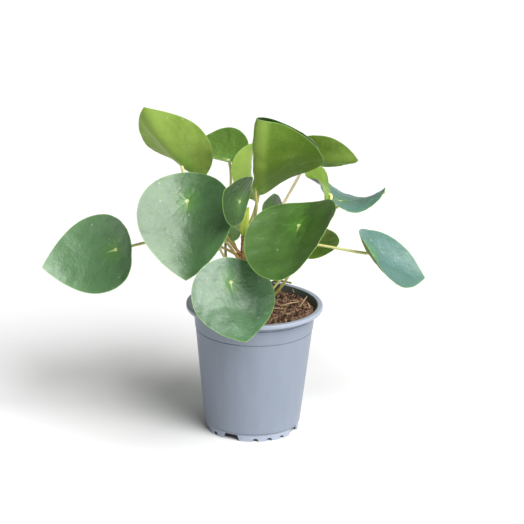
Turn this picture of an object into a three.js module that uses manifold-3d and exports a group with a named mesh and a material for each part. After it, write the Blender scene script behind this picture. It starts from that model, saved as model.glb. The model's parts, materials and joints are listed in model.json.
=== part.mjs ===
// A potted pilea: round peltate leaves on long stalks, a short woody stem, compost and a moulded pot.
// Millimetres, +Z up. The origin is the centre of the pot's underside, which stands on z = 0.
// The plant is seen from the front along +Y, with +X to the right.

import * as THREE from 'three';
import { mergeVertices } from 'three/addons/utils/BufferGeometryUtils.js';
import Module from 'manifold-3d';

const wasm = await Module();
wasm.setup();

// Clearance between pieces that touch on the real plant
const GAP = 0.3;

// Pot, a moulded 12 cm nursery pot
const POT_HEIGHT = 115;
const POT_SIDES = 56;
const LIP_RADIUS = 60;
const LIP_DEPTH = 4;
const LIP_ROUND = 1.2;
const LIP_MOUTH_RADIUS = 55.5;
const WALL = 1.3;
const WALL_TOP_RADIUS = 53.6;
const WALL_FOOT_RADIUS = 42.3;
const UPPER_STEP = { z: 107.5, radius: 53.4 };
const LOWER_STEP = { z: 94, radius: 51.8 };
const STEP_DEPTH = 0.45;
const STEP_SLOPE = 0.4;
const FLOOR_HEIGHT = 7;
const FOOT_RADIUS = 41.3;
const FOOT_WALL = 1.6;
// The middle of the floor is pressed down to the level of the feet
const DISH_RADIUS = 14;
const DISH_SLOPE = 5;

// Foot ring in four like quarters, each with one wide gap and three narrow arched notches.
// Their widths, and those of the teeth between them, are in degrees round the ring.
const FOOT_QUARTERS = 4;
const FOOT_START = -37.5;
const WIDE_GAP = { width: 22.5, height: 5.4 };
const NOTCH = { width: 7.5, height: 2.9 };
const TEETH = [16, 10, 10, 9];
const DRAIN_HOLES = 6;
const DRAIN_HOLE_RADIUS = 3.5;
const DRAIN_CIRCLE_RADIUS = 29;

// Compost, a low mound with a crumbly top
const SOIL_EDGE_HEIGHT = 108.8;
const SOIL_MOUND = 1.6;
const SOIL_RELIEF = 0.8;
const SOIL_RINGS = 7;
const LUMP_SPACING = 21;
const CRUMB_SPACING = 8;

// Woody stem, which leans a little to the left as it rises
const STEM_PATH = [
  [0, 0, 88],
  [0, 1, 112],
  [-3, 2, 132],
  [-9, 1, 152],
  [-10.5, 0, 170],
  [-10, -1, 184],
];
const STEM_BASE_RADIUS = 3.8;
const STEM_TOP_RADIUS = 2.2;
const STEM_SIDES = 10;
const STEM_STEPS = 20;

// Leaf stalks
const STALK_RADIUS = 1.15;
const STALK_SIDES = 7;
const STALK_STEPS = 12;
const STALK_BASE_SWELL = 1.5;
const STALK_TIP_SWELL = 1.35;
// Clearance at a stalk's two ends, a little more because the stem and the blades bend round them
const ROOT_GAP = 0.45;
const SEAT_GAP = 0.42;
// How quickly a swollen end narrows, counted in stalk lengths
const SWELL_REACH = 0.08;

// Leaf blades: a nearly round outline with a short point, held by its stalk near the lower third
const BLADE_THICKNESS = 0.8;
const BLADE_SECTORS = 28;
const BLADE_RINGS = 4;
const BLADE_SEAT = 0.3;
const BLADE_NARROWING = 0.05;
const POINT_SPREAD = 62;
const POINT_SHARPNESS = 2.2;
// The fold along the midrib opens softly, over this share of the half width
const CREASE = 0.2;

// Leaves: joint is where the stalk meets the blade; face gives the bearing and tilt of the upper side and
// the turn of the point from straight downhill; the angles are in degrees
const LEAVES = [
  {
    // far left
    name: 'leaf_01',
    joint: [-121, -15, 166],
    face: { bearing: -122, tilt: 21, turn: 62 },
    blade: { width: 69, length: 80, point: 12 },
    fold: { left: 6, right: 7 },
    curl: { left: 0, right: 6, droop: -38, heel: -42, twist: 3 },
    stalk: { from: 0.65, leave: [-49, 8, 29], arrive: 11 },
  },
  {
    // large, front left
    name: 'leaf_02',
    joint: [-59, -35, 218],
    face: { bearing: -96, tilt: 36, turn: -4 },
    blade: { width: 86, length: 84, point: 11 },
    fold: { left: 20, right: 17 },
    curl: { left: 2, right: 1, droop: 5, heel: -5, twist: 0 },
    stalk: { from: 0.59, leave: [-12, -9, 29], arrive: 16 },
  },
  {
    // top left, seen from below
    name: 'leaf_03',
    joint: [-65, 15, 234],
    face: { bearing: 59, tilt: 39, turn: -155 },
    blade: { width: 72, length: 76, point: 11 },
    fold: { left: 30, right: 30 },
    curl: { left: -5, right: -12, droop: -25, heel: -26, twist: -25 },
    stalk: { from: 0.32, leave: [-11, -40, 12], arrive: 5 },
  },
  {
    // high at the back
    name: 'leaf_04',
    joint: [-26, 60, 227],
    face: { bearing: -137, tilt: 66, turn: 86 },
    blade: { width: 60, length: 63, point: 7 },
    fold: { left: 35, right: 20 },
    curl: { left: 16, right: 16, droop: -4, heel: -2, twist: 0 },
    stalk: { from: 0.3, leave: [-41, 23, 5], arrive: 34 },
  },
  {
    // behind the middle, seen from below
    name: 'leaf_05',
    joint: [-6, 18, 217],
    face: { bearing: 176, tilt: -18, turn: 153 },
    blade: { width: 46, length: 48, point: 5 },
    fold: { left: 2, right: 24 },
    curl: { left: 7, right: 11, droop: 31, heel: 1, twist: 0 },
    stalk: { from: 0.92, leave: [12, 27, 23], arrive: 11 },
  },
  {
    // large, top middle, seen from below
    name: 'leaf_06',
    joint: [-1, -25, 226],
    face: { bearing: 76, tilt: 55, turn: 171 },
    blade: { width: 122, length: 124, point: 3 },
    fold: { left: 43, right: 129 },
    curl: { left: -30, right: 25, droop: -48, heel: -24, twist: 9 },
    stalk: { from: 0.9, leave: [14, -37, 34], arrive: 5 },
  },
  {
    // right of the middle, folded up
    name: 'leaf_07',
    joint: [63, 23, 208],
    face: { bearing: 167, tilt: -5, turn: -123 },
    blade: { width: 57, length: 57, point: 7 },
    fold: { left: 41, right: 5 },
    curl: { left: -53, right: 57, droop: 0, heel: -10, twist: -40 },
    stalk: { from: 0.6, leave: [50, -40, 5], arrive: 6 },
  },
  {
    // small, front of the middle
    name: 'leaf_08',
    joint: [-14, -56, 225],
    face: { bearing: -24, tilt: -4, turn: 120 },
    blade: { width: 46, length: 48, point: 4 },
    fold: { left: 5, right: 7 },
    curl: { left: 5, right: 20, droop: 2, heel: -12, twist: 11 },
    stalk: { from: 0.7, leave: [-31, -3, 34], arrive: 8 },
  },
  {
    // large, front right
    name: 'leaf_09',
    joint: [36, -55, 205],
    face: { bearing: -133, tilt: 59, turn: -30 },
    blade: { width: 87, length: 100, point: 3 },
    fold: { left: 10, right: 10 },
    curl: { left: 25, right: 17, droop: -12, heel: 7, twist: -11 },
    stalk: { from: 0.22, leave: [10, -32, 4], arrive: 34 },
  },
  {
    // front, hanging over the lip
    name: 'leaf_10',
    joint: [-20, -76, 160],
    face: { bearing: -60, tilt: 31, turn: 10 },
    blade: { width: 72, length: 72, point: 9 },
    fold: { left: 12, right: -2 },
    curl: { left: 11, right: -14, droop: -30, heel: -1, twist: -6 },
    stalk: { from: 0.31, leave: [8, -9, 25], arrive: 29 },
  },
  {
    // small, behind the front right one
    name: 'leaf_11',
    joint: [47, 66, 152],
    face: { bearing: 56, tilt: 5, turn: 139 },
    blade: { width: 48, length: 50, point: 10 },
    fold: { left: 27, right: 9 },
    curl: { left: 2, right: 1, droop: 49, heel: 61, twist: 0 },
    stalk: { from: 0.22, leave: [30, 16, 24], arrive: 24 },
  },
  {
    // top right, seen from below
    name: 'leaf_12',
    joint: [44, 40, 237],
    face: { bearing: 76, tilt: 39, turn: 81 },
    blade: { width: 53, length: 56, point: 5 },
    fold: { left: 20, right: 15 },
    curl: { left: 3, right: 3, droop: -15, heel: 0, twist: 0 },
    stalk: { from: 0.64, leave: [14, 1, 21], arrive: 6 },
  },
  {
    // right, seen along its edge
    name: 'leaf_13',
    joint: [74, 58, 192],
    face: { bearing: 20, tilt: 82, turn: -21 },
    blade: { width: 63, length: 67, point: 7 },
    fold: { left: 7, right: 7 },
    curl: { left: 30, right: -16, droop: -8, heel: -32, twist: 43 },
    stalk: { from: 0.98, leave: [39, 36, 12], arrive: 17 },
  },
  {
    // far right
    name: 'leaf_14',
    joint: [100, 20, 157],
    face: { bearing: -8, tilt: 45, turn: -17 },
    blade: { width: 64, length: 70, point: 9 },
    fold: { left: 23, right: 11 },
    curl: { left: -14, right: 5, droop: -28, heel: -35, twist: -21 },
    stalk: { from: 0.74, leave: [17, 35, 7], arrive: 5 },
  },
  {
    // small, inside the plant
    name: 'leaf_15',
    joint: [11, 32, 189],
    face: { bearing: -35, tilt: 25, turn: -53 },
    blade: { width: 36, length: 38, point: 9 },
    fold: { left: 17, right: 17 },
    curl: { left: 0, right: 0, droop: 3, heel: -22, twist: 32 },
    stalk: { from: 0.85, leave: [4, 9, 6], arrive: 12 },
  },
  {
    // small, inside the plant
    name: 'leaf_16',
    joint: [-25, 38, 177],
    face: { bearing: -45, tilt: 21, turn: 76 },
    blade: { width: 36, length: 36, point: 13 },
    fold: { left: 24, right: 24 },
    curl: { left: 0, right: 0, droop: -17, heel: -35, twist: 0 },
    stalk: { from: 0.49, leave: [-18, 39, 28], arrive: 6 },
  },
];

const COLOURS = {
  pot: 0x8d97a6,
  soil: 0x6b4a3a,
  wood: 0x7a6040,
  stalk: 0x9a8a45,
  blade: 0x4a7d35,
};

function radians(degrees) {
  return (degrees * Math.PI) / 180;
}

// A closed three.js geometry as a solid that can be joined and cut
function solid(geometry) {
  const plain = geometry.clone();
  plain.deleteAttribute('normal');
  plain.deleteAttribute('uv');
  const merged = mergeVertices(plain, 1e-4);
  const vertProperties = new Float32Array(merged.attributes.position.array);
  const triVerts = new Uint32Array(merged.index.array);
  return new wasm.Manifold(new wasm.Mesh({ numProp: 3, vertProperties, triVerts }));
}

// A solid back as a three.js geometry
function surface(made) {
  const mesh = made.getMesh();
  const geometry = new THREE.BufferGeometry();
  geometry.setAttribute('position', new THREE.BufferAttribute(mesh.vertProperties, 3));
  geometry.setIndex(new THREE.BufferAttribute(mesh.triVerts, 1));
  geometry.computeVertexNormals();
  return geometry;
}

function piece(name, geometry, colour, roughness) {
  const material = new THREE.MeshStandardMaterial({ color: colour, roughness, metalness: 0 });
  const mesh = new THREE.Mesh(geometry, material);
  mesh.name = name;
  return mesh;
}

// A closed profile of [radius, z] points turned about the pot's axis
function turned(profile, sides) {
  const points = profile.map(([radius, z]) => new THREE.Vector2(radius, z));
  return new THREE.LatheGeometry(points, sides).rotateX(Math.PI / 2);
}

// The pot's outside from the floor's edge up to the underside of the lip
function outerWall() {
  return [
    [WALL_FOOT_RADIUS, FLOOR_HEIGHT],
    [LOWER_STEP.radius - STEP_DEPTH, LOWER_STEP.z - STEP_SLOPE],
    [LOWER_STEP.radius, LOWER_STEP.z],
    [UPPER_STEP.radius - STEP_DEPTH, UPPER_STEP.z - STEP_SLOPE],
    [UPPER_STEP.radius, UPPER_STEP.z],
    [WALL_TOP_RADIUS, POT_HEIGHT - LIP_DEPTH],
  ];
}

// The pot's inside from the lip's mouth down to the middle of the floor
function innerWall() {
  const floor = FLOOR_HEIGHT + WALL;
  return [
    [LIP_MOUTH_RADIUS, POT_HEIGHT - LIP_ROUND / 2],
    [WALL_TOP_RADIUS - WALL, POT_HEIGHT - LIP_DEPTH - WALL],
    [LOWER_STEP.radius - STEP_DEPTH - WALL, LOWER_STEP.z],
    [WALL_FOOT_RADIUS - WALL, floor],
    [DISH_RADIUS + DISH_SLOPE - WALL, floor],
    [DISH_RADIUS - WALL, WALL],
  ];
}

// The solids that cut the foot ring away, turned to their places round the pot
function footCuts() {
  const across = ({ width }) => 2 * FOOT_RADIUS * Math.sin(radians(width / 2));
  const wide = new THREE.BoxGeometry(across(WIDE_GAP), 4 * FOOT_WALL, 2 * WIDE_GAP.height);
  const arch = new THREE.CylinderGeometry(across(NOTCH) / 2, across(NOTCH) / 2, 4 * FOOT_WALL, 12);
  arch.scale(1, 1, NOTCH.height / (across(NOTCH) / 2));
  const cuts = [];
  const place = (shape, bearing) => {
    cuts.push(shape.clone().translate(0, -FOOT_RADIUS, 0).rotateZ(radians(bearing)));
  };
  for (let quarter = 0; quarter < FOOT_QUARTERS; quarter += 1) {
    let bearing = FOOT_START + (quarter * 360) / FOOT_QUARTERS;
    place(wide, bearing + WIDE_GAP.width / 2);
    bearing += WIDE_GAP.width;
    TEETH.slice(0, -1).forEach((tooth) => {
      bearing += tooth;
      place(arch, bearing + NOTCH.width / 2);
      bearing += NOTCH.width;
    });
  }
  return cuts;
}

function potGeometry() {
  const profile = [
    [0, 0],
    [DISH_RADIUS, 0],
    [DISH_RADIUS + DISH_SLOPE, FLOOR_HEIGHT],
    [FOOT_RADIUS - FOOT_WALL, FLOOR_HEIGHT],
    [FOOT_RADIUS - FOOT_WALL, 0],
    [FOOT_RADIUS, 0],
    [FOOT_RADIUS, FLOOR_HEIGHT],
    ...outerWall(),
    [LIP_RADIUS - LIP_ROUND / 2, POT_HEIGHT - LIP_DEPTH],
    [LIP_RADIUS, POT_HEIGHT - LIP_DEPTH + LIP_ROUND / 2],
    [LIP_RADIUS, POT_HEIGHT - LIP_ROUND],
    [LIP_RADIUS - LIP_ROUND / 2, POT_HEIGHT],
    [LIP_MOUTH_RADIUS + LIP_ROUND / 2, POT_HEIGHT],
    ...innerWall(),
    [0, WALL],
  ];
  let pot = solid(turned(profile, POT_SIDES));
  footCuts().forEach((cut) => {
    pot = pot.subtract(solid(cut));
  });
  for (let hole = 0; hole < DRAIN_HOLES; hole += 1) {
    const drill = new THREE.CylinderGeometry(DRAIN_HOLE_RADIUS, DRAIN_HOLE_RADIUS, 4 * WALL, 10);
    drill.rotateX(Math.PI / 2);
    drill.translate(0, -DRAIN_CIRCLE_RADIUS, FLOOR_HEIGHT + WALL / 2);
    drill.rotateZ((hole * 2 * Math.PI) / DRAIN_HOLES);
    pot = pot.subtract(solid(drill));
  }
  return surface(pot);
}

// Height of the lumps and crumbs on the compost above its smooth mound
function crumbs(x, y) {
  const lump = (2 * Math.PI) / LUMP_SPACING;
  const crumb = (2 * Math.PI) / CRUMB_SPACING;
  const coarse = Math.sin(lump * x + 1.3) * Math.cos(lump * y - 0.4);
  const fine = Math.sin(crumb * (x - y)) * Math.cos(crumb * (0.6 * x + y));
  return SOIL_RELIEF * (0.6 * coarse + 0.4 * fine);
}

// The compost fills the pot up to its mound, a little clear of the wall
function soilGeometry() {
  const [, upper, lower, ...rest] = innerWall();
  const wallAt = (z) => THREE.MathUtils.mapLinear(z, lower[1], upper[1], lower[0], upper[0]);
  const edge = wallAt(SOIL_EDGE_HEIGHT) - GAP;
  const profile = [[0, WALL + GAP]];
  [lower, ...rest].reverse().forEach(([radius, z]) => profile.push([radius - GAP, z + GAP]));
  profile.push([edge, SOIL_EDGE_HEIGHT]);
  for (let ring = SOIL_RINGS; ring >= 0; ring -= 1) {
    const share = ring / (SOIL_RINGS + 1);
    profile.push([share * edge, SOIL_EDGE_HEIGHT + SOIL_MOUND * (1 - share * share)]);
  }
  const geometry = turned(profile, POT_SIDES);
  const position = geometry.attributes.position;
  for (let index = 0; index < position.count; index += 1) {
    if (position.getZ(index) > SOIL_EDGE_HEIGHT + 0.01) {
      const lift = crumbs(position.getX(index), position.getY(index));
      position.setZ(index, position.getZ(index) + lift);
    }
  }
  return geometry;
}

// A round stem along a curve: radiusAt gives its radius from 0 at the root to 1 at the end
function stemGeometry(curve, sides, steps, radiusAt) {
  const section = [];
  for (let side = 0; side < sides; side += 1) {
    const angle = (side * 2 * Math.PI) / sides;
    section.push(new THREE.Vector2(Math.cos(angle), Math.sin(angle)));
  }
  const options = { steps, bevelEnabled: false, extrudePath: curve };
  const geometry = new THREE.ExtrudeGeometry(new THREE.Shape(section), options);
  const centres = curve.getSpacedPoints(steps);
  const position = geometry.attributes.position;
  const point = new THREE.Vector3();
  for (let index = 0; index < position.count; index += 1) {
    point.fromBufferAttribute(position, index);
    const distances = centres.map((centre) => centre.distanceTo(point));
    const nearest = distances.indexOf(Math.min(...distances));
    point.sub(centres[nearest]).multiplyScalar(radiusAt(nearest / steps)).add(centres[nearest]);
    position.setXYZ(index, point.x, point.y, point.z);
  }
  return geometry;
}

const stemCurve = new THREE.CatmullRomCurve3(STEM_PATH.map((point) => new THREE.Vector3(...point)));

function stemRadius(share) {
  return STEM_BASE_RADIUS + (STEM_TOP_RADIUS - STEM_BASE_RADIUS) * share;
}

// The three directions of a blade at its seat: across, towards its point, and up from its upper side
function bladeFrame({ bearing, tilt, turn }) {
  const around = radians(bearing);
  const raised = radians(tilt);
  const swing = radians(turn);
  const up = new THREE.Vector3(
    Math.cos(raised) * Math.cos(around),
    Math.cos(raised) * Math.sin(around),
    Math.sin(raised),
  );
  const downhill = new THREE.Vector3(
    Math.sin(raised) * Math.cos(around),
    Math.sin(raised) * Math.sin(around),
    -Math.cos(raised),
  );
  const sideways = downhill.clone().cross(up);
  const point = downhill.multiplyScalar(Math.cos(swing)).addScaledVector(sideways, Math.sin(swing));
  const across = point.clone().cross(up);
  return { across, point, up };
}

// Outline of the flat blade at an angle counted from its right side, its point at a quarter turn
function outline(leaf, angle) {
  const { width, length, point } = leaf.blade;
  const fromPoint = Math.abs(angle - Math.PI / 2);
  const off = Math.min(fromPoint, 2 * Math.PI - fromPoint) / radians(POINT_SPREAD);
  const tip = point * Math.max(0, 1 - off) ** POINT_SHARPNESS;
  const u = (width / 2) * Math.cos(angle) * (1 - BLADE_NARROWING * Math.sin(angle));
  const v = (length / 2) * (1 - 2 * BLADE_SEAT + Math.sin(angle)) + tip;
  return [u, v];
}

// A step of a given length along an arc that sets off at a slope: how far on and how far up it ends
function arc(reach, curvature, slope) {
  if (Math.abs(curvature) < 1e-6) {
    return [reach * Math.cos(slope), reach * Math.sin(slope)];
  }
  const end = slope + curvature * reach;
  return [
    (Math.sin(end) - Math.sin(slope)) / curvature,
    (Math.cos(slope) - Math.cos(end)) / curvature,
  ];
}

// A point of the bent blade: each half is folded up from the midrib and curls, and the midrib droops
function bladePoint(leaf, u, v) {
  const { fold, curl, blade } = leaf;
  const half = blade.width / 2;
  const right = u >= 0;
  const opening = Math.tanh(Math.abs(u) / (CREASE * half));
  const slope = radians(right ? fold.right : fold.left) * opening;
  const bendAcross = radians(right ? curl.right : curl.left) / half;
  let [x, lift] = arc(Math.abs(u), bendAcross, slope);
  x = right ? x : -x;
  const ahead = v >= 0;
  const reach = blade.length * (ahead ? 1 - BLADE_SEAT : BLADE_SEAT);
  const bendAlong = -radians(ahead ? curl.droop : curl.heel) / reach;
  const [along, rise] = arc(Math.abs(v), bendAlong, 0);
  const lean = bendAlong * v;
  const roll = radians(curl.twist) * (v / (blade.length * (1 - BLADE_SEAT)));
  const rolledX = x * Math.cos(roll) - lift * Math.sin(roll);
  const rolledLift = x * Math.sin(roll) + lift * Math.cos(roll);
  const y = (ahead ? along : -along) - rolledLift * Math.sin(lean);
  const z = rise + rolledLift * Math.cos(lean);
  const { across, point, up } = bladeFrame(leaf.face);
  return new THREE.Vector3(...leaf.joint)
    .addScaledVector(across, rolledX)
    .addScaledVector(point, y)
    .addScaledVector(up, z);
}

// A point of the blade's upper (side 1) or lower (side -1) face
function facePoint(leaf, u, v, side) {
  const step = 0.5;
  const across = bladePoint(leaf, u + step, v).sub(bladePoint(leaf, u - step, v));
  const along = bladePoint(leaf, u, v + step).sub(bladePoint(leaf, u, v - step));
  const normal = across.cross(along).normalize();
  return bladePoint(leaf, u, v).addScaledVector(normal, (side * BLADE_THICKNESS) / 2);
}

// Both faces of a blade, split into triangles alike, with a rim between them
function bladeGeometry(leaf) {
  const positions = [];
  const faceSize = 1 + BLADE_RINGS * BLADE_SECTORS;
  [1, -1].forEach((side) => {
    positions.push(...facePoint(leaf, 0, 0, side).toArray());
    for (let ring = 1; ring <= BLADE_RINGS; ring += 1) {
      for (let sector = 0; sector < BLADE_SECTORS; sector += 1) {
        const [u, v] = outline(leaf, (sector * 2 * Math.PI) / BLADE_SECTORS);
        const share = ring / BLADE_RINGS;
        positions.push(...facePoint(leaf, share * u, share * v, side).toArray());
      }
    }
  });
  const at = (ring, sector) => 1 + (ring - 1) * BLADE_SECTORS + (sector % BLADE_SECTORS);
  const index = [];
  const both = (a, b, c) => {
    index.push(a, b, c);
    index.push(faceSize + a, faceSize + c, faceSize + b);
  };
  for (let sector = 0; sector < BLADE_SECTORS; sector += 1) {
    both(0, at(1, sector), at(1, sector + 1));
    for (let ring = 1; ring < BLADE_RINGS; ring += 1) {
      both(at(ring, sector), at(ring + 1, sector), at(ring + 1, sector + 1));
      both(at(ring, sector), at(ring + 1, sector + 1), at(ring, sector + 1));
    }
    const here = at(BLADE_RINGS, sector);
    const next = at(BLADE_RINGS, sector + 1);
    index.push(here, faceSize + here, faceSize + next);
    index.push(here, faceSize + next, next);
  }
  const geometry = new THREE.BufferGeometry();
  geometry.setAttribute('position', new THREE.Float32BufferAttribute(positions, 3));
  geometry.setIndex(index);
  geometry.computeVertexNormals();
  return geometry;
}

// A stalk leaves the stem along its own handle and meets the underside of its blade squarely
function stalkCurve(leaf) {
  const { from, leave, arrive } = leaf.stalk;
  const handle = new THREE.Vector3(...leave);
  const rise = handle.z / handle.length();
  const sideways = new THREE.Vector3(handle.x, handle.y, 0).normalize();
  const clear = stemRadius(from) + ROOT_GAP + STALK_RADIUS * STALK_BASE_SWELL * rise;
  const root = stemCurve.getPoint(from).addScaledVector(sideways, clear);
  const { up } = bladeFrame(leaf.face);
  const seat = new THREE.Vector3(...leaf.joint).addScaledVector(up, -(BLADE_THICKNESS / 2 + SEAT_GAP));
  const below = seat.clone().addScaledVector(up, -arrive);
  return new THREE.CubicBezierCurve3(root, root.clone().add(handle), below, seat);
}

function stalkRadius(share) {
  const base = (STALK_BASE_SWELL - 1) * Math.exp(-share / SWELL_REACH);
  const tip = (STALK_TIP_SWELL - 1) * Math.exp((share - 1) / SWELL_REACH);
  return STALK_RADIUS * (1 + base + tip);
}

const group = new THREE.Group();
group.add(piece('pot', potGeometry(), COLOURS.pot, 0.5));

// The stem stands in a plain hole that is a little wider and deeper than its foot
const hole = stemGeometry(stemCurve, STEM_SIDES, STEM_STEPS, (share) => stemRadius(share) + GAP);
const deeper = hole.clone().translate(0, 0, -GAP);
const compost = solid(soilGeometry()).subtract(solid(hole)).subtract(solid(deeper));
group.add(piece('soil', surface(compost), COLOURS.soil, 0.95));

const stem = stemGeometry(stemCurve, STEM_SIDES, STEM_STEPS, stemRadius);
group.add(piece('main_stem', stem, COLOURS.wood, 0.8));

LEAVES.forEach((leaf) => {
  group.add(piece(`${leaf.name}_blade`, bladeGeometry(leaf), COLOURS.blade, 0.45));
  const stalk = stemGeometry(stalkCurve(leaf), STALK_SIDES, STALK_STEPS, stalkRadius);
  group.add(piece(`${leaf.name}_stalk`, stalk, COLOURS.stalk, 0.6));
});

export default group;
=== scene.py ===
"""A potted pilea: the looks of its leaves, stalks, stem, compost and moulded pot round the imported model.

Lengths are in millimetres until a mesh is made, and then in metres. +Z is up and the pot's axis is x = y = 0.
"""

import json
import math
from functools import partial

import bpy
import numpy as np
from bpy.props import FloatProperty, FloatVectorProperty, IntProperty, PointerProperty
from mathutils import Matrix, Vector

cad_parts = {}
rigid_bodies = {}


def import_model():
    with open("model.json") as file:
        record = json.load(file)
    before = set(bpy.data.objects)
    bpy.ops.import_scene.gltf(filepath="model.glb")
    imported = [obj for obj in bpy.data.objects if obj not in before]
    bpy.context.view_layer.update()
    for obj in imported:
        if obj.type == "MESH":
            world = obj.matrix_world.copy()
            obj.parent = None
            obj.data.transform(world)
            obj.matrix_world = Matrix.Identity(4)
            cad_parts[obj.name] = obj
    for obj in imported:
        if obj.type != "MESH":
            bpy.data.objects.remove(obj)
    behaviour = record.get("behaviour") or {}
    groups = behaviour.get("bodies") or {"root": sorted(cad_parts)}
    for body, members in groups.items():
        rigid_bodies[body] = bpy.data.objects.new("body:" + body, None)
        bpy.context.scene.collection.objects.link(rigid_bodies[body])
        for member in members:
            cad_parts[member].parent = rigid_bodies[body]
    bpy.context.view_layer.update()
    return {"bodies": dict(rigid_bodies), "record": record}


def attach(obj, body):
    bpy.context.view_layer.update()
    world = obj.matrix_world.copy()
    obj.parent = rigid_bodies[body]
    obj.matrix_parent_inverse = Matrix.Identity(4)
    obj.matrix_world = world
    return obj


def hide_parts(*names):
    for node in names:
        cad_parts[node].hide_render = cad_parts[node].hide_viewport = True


bl_info = {
    "name": "Potted Pilea",
    "version": (1, 0, 0),
    "blender": (4, 5, 0),
    "location": "View3D > Sidebar > Pilea",
    "description": "Builds the leaves, stalks, stem, compost and pot of a potted pilea",
    "category": "Add Mesh",
}

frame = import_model()
BODY = next(iter(frame["bodies"]))
MM = 0.001
TURN = 2 * math.pi

# ---- leaves, as the solids have them ----

# joint: where the stalk meets the blade; bearing and tilt: which way the upper side faces; turn: of the point
# from straight downhill; then the blade's width, length and point, its folds, curls and twist, and the stalk's
# place on the stem, its handle there and its handle under the blade. Angles are in degrees.
LEAF_KEYS = (
    "joint", "bearing", "tilt", "turn", "width", "length", "point", "fold_left", "fold_right",
    "curl_left", "curl_right", "droop", "heel", "twist", "start", "leave", "arrive",
)
LEAF_ROWS = {
    "leaf_01": ((-121, -15, 166), -122, 21, 62, 69, 80, 12, 6, 7, 0, 6, -38, -42, 3, 0.65, (-49, 8, 29), 11),
    "leaf_02": ((-59, -35, 218), -96, 36, -4, 86, 84, 11, 20, 17, 2, 1, 5, -5, 0, 0.59, (-12, -9, 29), 16),
    "leaf_03": ((-65, 15, 234), 59, 39, -155, 72, 76, 11, 30, 30, -5, -12, -25, -26, -25, 0.32, (-11, -40, 12), 5),
    "leaf_04": ((-26, 60, 227), -137, 66, 86, 60, 63, 7, 35, 20, 16, 16, -4, -2, 0, 0.3, (-41, 23, 5), 34),
    "leaf_05": ((-6, 18, 217), 176, -18, 153, 46, 48, 5, 2, 24, 7, 11, 31, 1, 0, 0.92, (12, 27, 23), 11),
    "leaf_06": ((-1, -25, 226), 76, 55, 171, 122, 124, 3, 43, 129, -30, 25, -48, -24, 9, 0.9, (14, -37, 34), 5),
    "leaf_07": ((63, 23, 208), 167, -5, -123, 57, 57, 7, 41, 5, -53, 57, 0, -10, -40, 0.6, (50, -40, 5), 6),
    "leaf_08": ((-14, -56, 225), -24, -4, 120, 46, 48, 4, 5, 7, 5, 20, 2, -12, 11, 0.7, (-31, -3, 34), 8),
    "leaf_09": ((36, -55, 205), -133, 59, -30, 87, 100, 3, 10, 10, 25, 17, -12, 7, -11, 0.22, (10, -32, 4), 34),
    "leaf_10": ((-20, -76, 160), -60, 31, 10, 72, 72, 9, 12, -2, 11, -14, -30, -1, -6, 0.31, (8, -9, 25), 29),
    "leaf_11": ((47, 66, 152), 56, 5, 139, 48, 50, 10, 27, 9, 2, 1, 49, 61, 0, 0.22, (30, 16, 24), 24),
    "leaf_12": ((44, 40, 237), 76, 39, 81, 53, 56, 5, 20, 15, 3, 3, -15, 0, 0, 0.64, (14, 1, 21), 6),
    "leaf_13": ((74, 58, 192), 20, 82, -21, 63, 67, 7, 7, 7, 30, -16, -8, -32, 43, 0.98, (39, 36, 12), 17),
    "leaf_14": ((100, 20, 157), -8, 45, -17, 64, 70, 9, 23, 11, -14, 5, -28, -35, -21, 0.74, (17, 35, 7), 5),
    "leaf_15": ((11, 32, 189), -35, 25, -53, 36, 38, 9, 17, 17, 0, 0, 3, -22, 32, 0.85, (4, 9, 6), 12),
    "leaf_16": ((-25, 38, 177), -45, 21, 76, 36, 36, 13, 24, 24, 0, 0, -17, -35, 0, 0.49, (-18, 39, 28), 6),
}

# How each leaf looks: tone is how light its green is, bloom_and_sheen its bluish wax coating together with painted
# sheen, and youth its yellow, all from about 0 to 1; blush is its stalk's colour, from -1 for dark olive to 1 for pale
# peach, which is partly painted light
LOOK_KEYS = ("tone", "bloom_and_sheen", "youth", "blush")
# A leaf with more bloom_and_sheen than this gets a duller coat
DULL_COAT_LIMIT = 0.5
LEAF_LOOKS = {
    "leaf_01": (1.00, 0.26, 0.00, 0.3), "leaf_02": (0.55, 0.16, 0.00, 0.1),
    "leaf_03": (0.60, 0.00, 0.25, 0.4), "leaf_04": (1.00, 0.00, 0.45, 0.0),
    "leaf_05": (0.60, 0.00, 0.45, -0.1), "leaf_06": (-0.1, 0.00, 0.00, -0.7),
    "leaf_07": (0.35, 0.00, 0.00, 0.2), "leaf_08": (-0.2, 0.00, 0.00, 0.0),
    "leaf_09": (0.45, 0.00, 0.05, -0.2), "leaf_10": (0.60, 0.32, 0.00, -0.3),
    "leaf_11": (-0.1, 0.00, 0.00, -0.4), "leaf_12": (0.45, 0.00, 0.00, 1.0),
    "leaf_13": (1.00, 0.90, 0.00, 0.3), "leaf_14": (0.20, 0.95, 0.00, 0.1),
    "leaf_15": (-0.1, 0.00, 0.00, 0.0), "leaf_16": (0.90, 0.00, 0.20, 0.2),
}

# Thickness in mm, the mesh's steps round and outwards, and the flat outline: the joint's place as a share of the
# length, how much narrower the outer half is, and over what angle the point rises and how sharply
BLADE_THICKNESS = 0.8
MARGIN_THICKNESS = 0.35
BLADE_SECTORS = 132
BLADE_RINGS = 34
BLADE_SEAT = 0.3
BLADE_NARROWING = 0.05
POINT_SPREAD = math.radians(62)
POINT_SHARPNESS = 2.2
# A fold opens over this share of the half width, more softly where it is shallow
CREASE = 0.2
SOFT_CREASE = 0.5
SHALLOW_FOLD = 25
# Main veins run out from the joint at these angles from the point, and bend towards it on the way
VEIN_ANGLES = tuple(math.radians(angle) for angle in (0, 50, 98, 146))
VEIN_BEND = 0.004
UV_NAME = "surface_mm"
UV_SPAN = 200.0
# Relief of the blade: heights and lengths in mm, most of them for a leaf of the typical width
TYPICAL_WIDTH = 86
VEIN_WIDTH = 1.3
VEIN_DEPTH = 0.22
VEIN_DEPTH_SPREAD = 0.16
VEIN_REACH = 15
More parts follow.
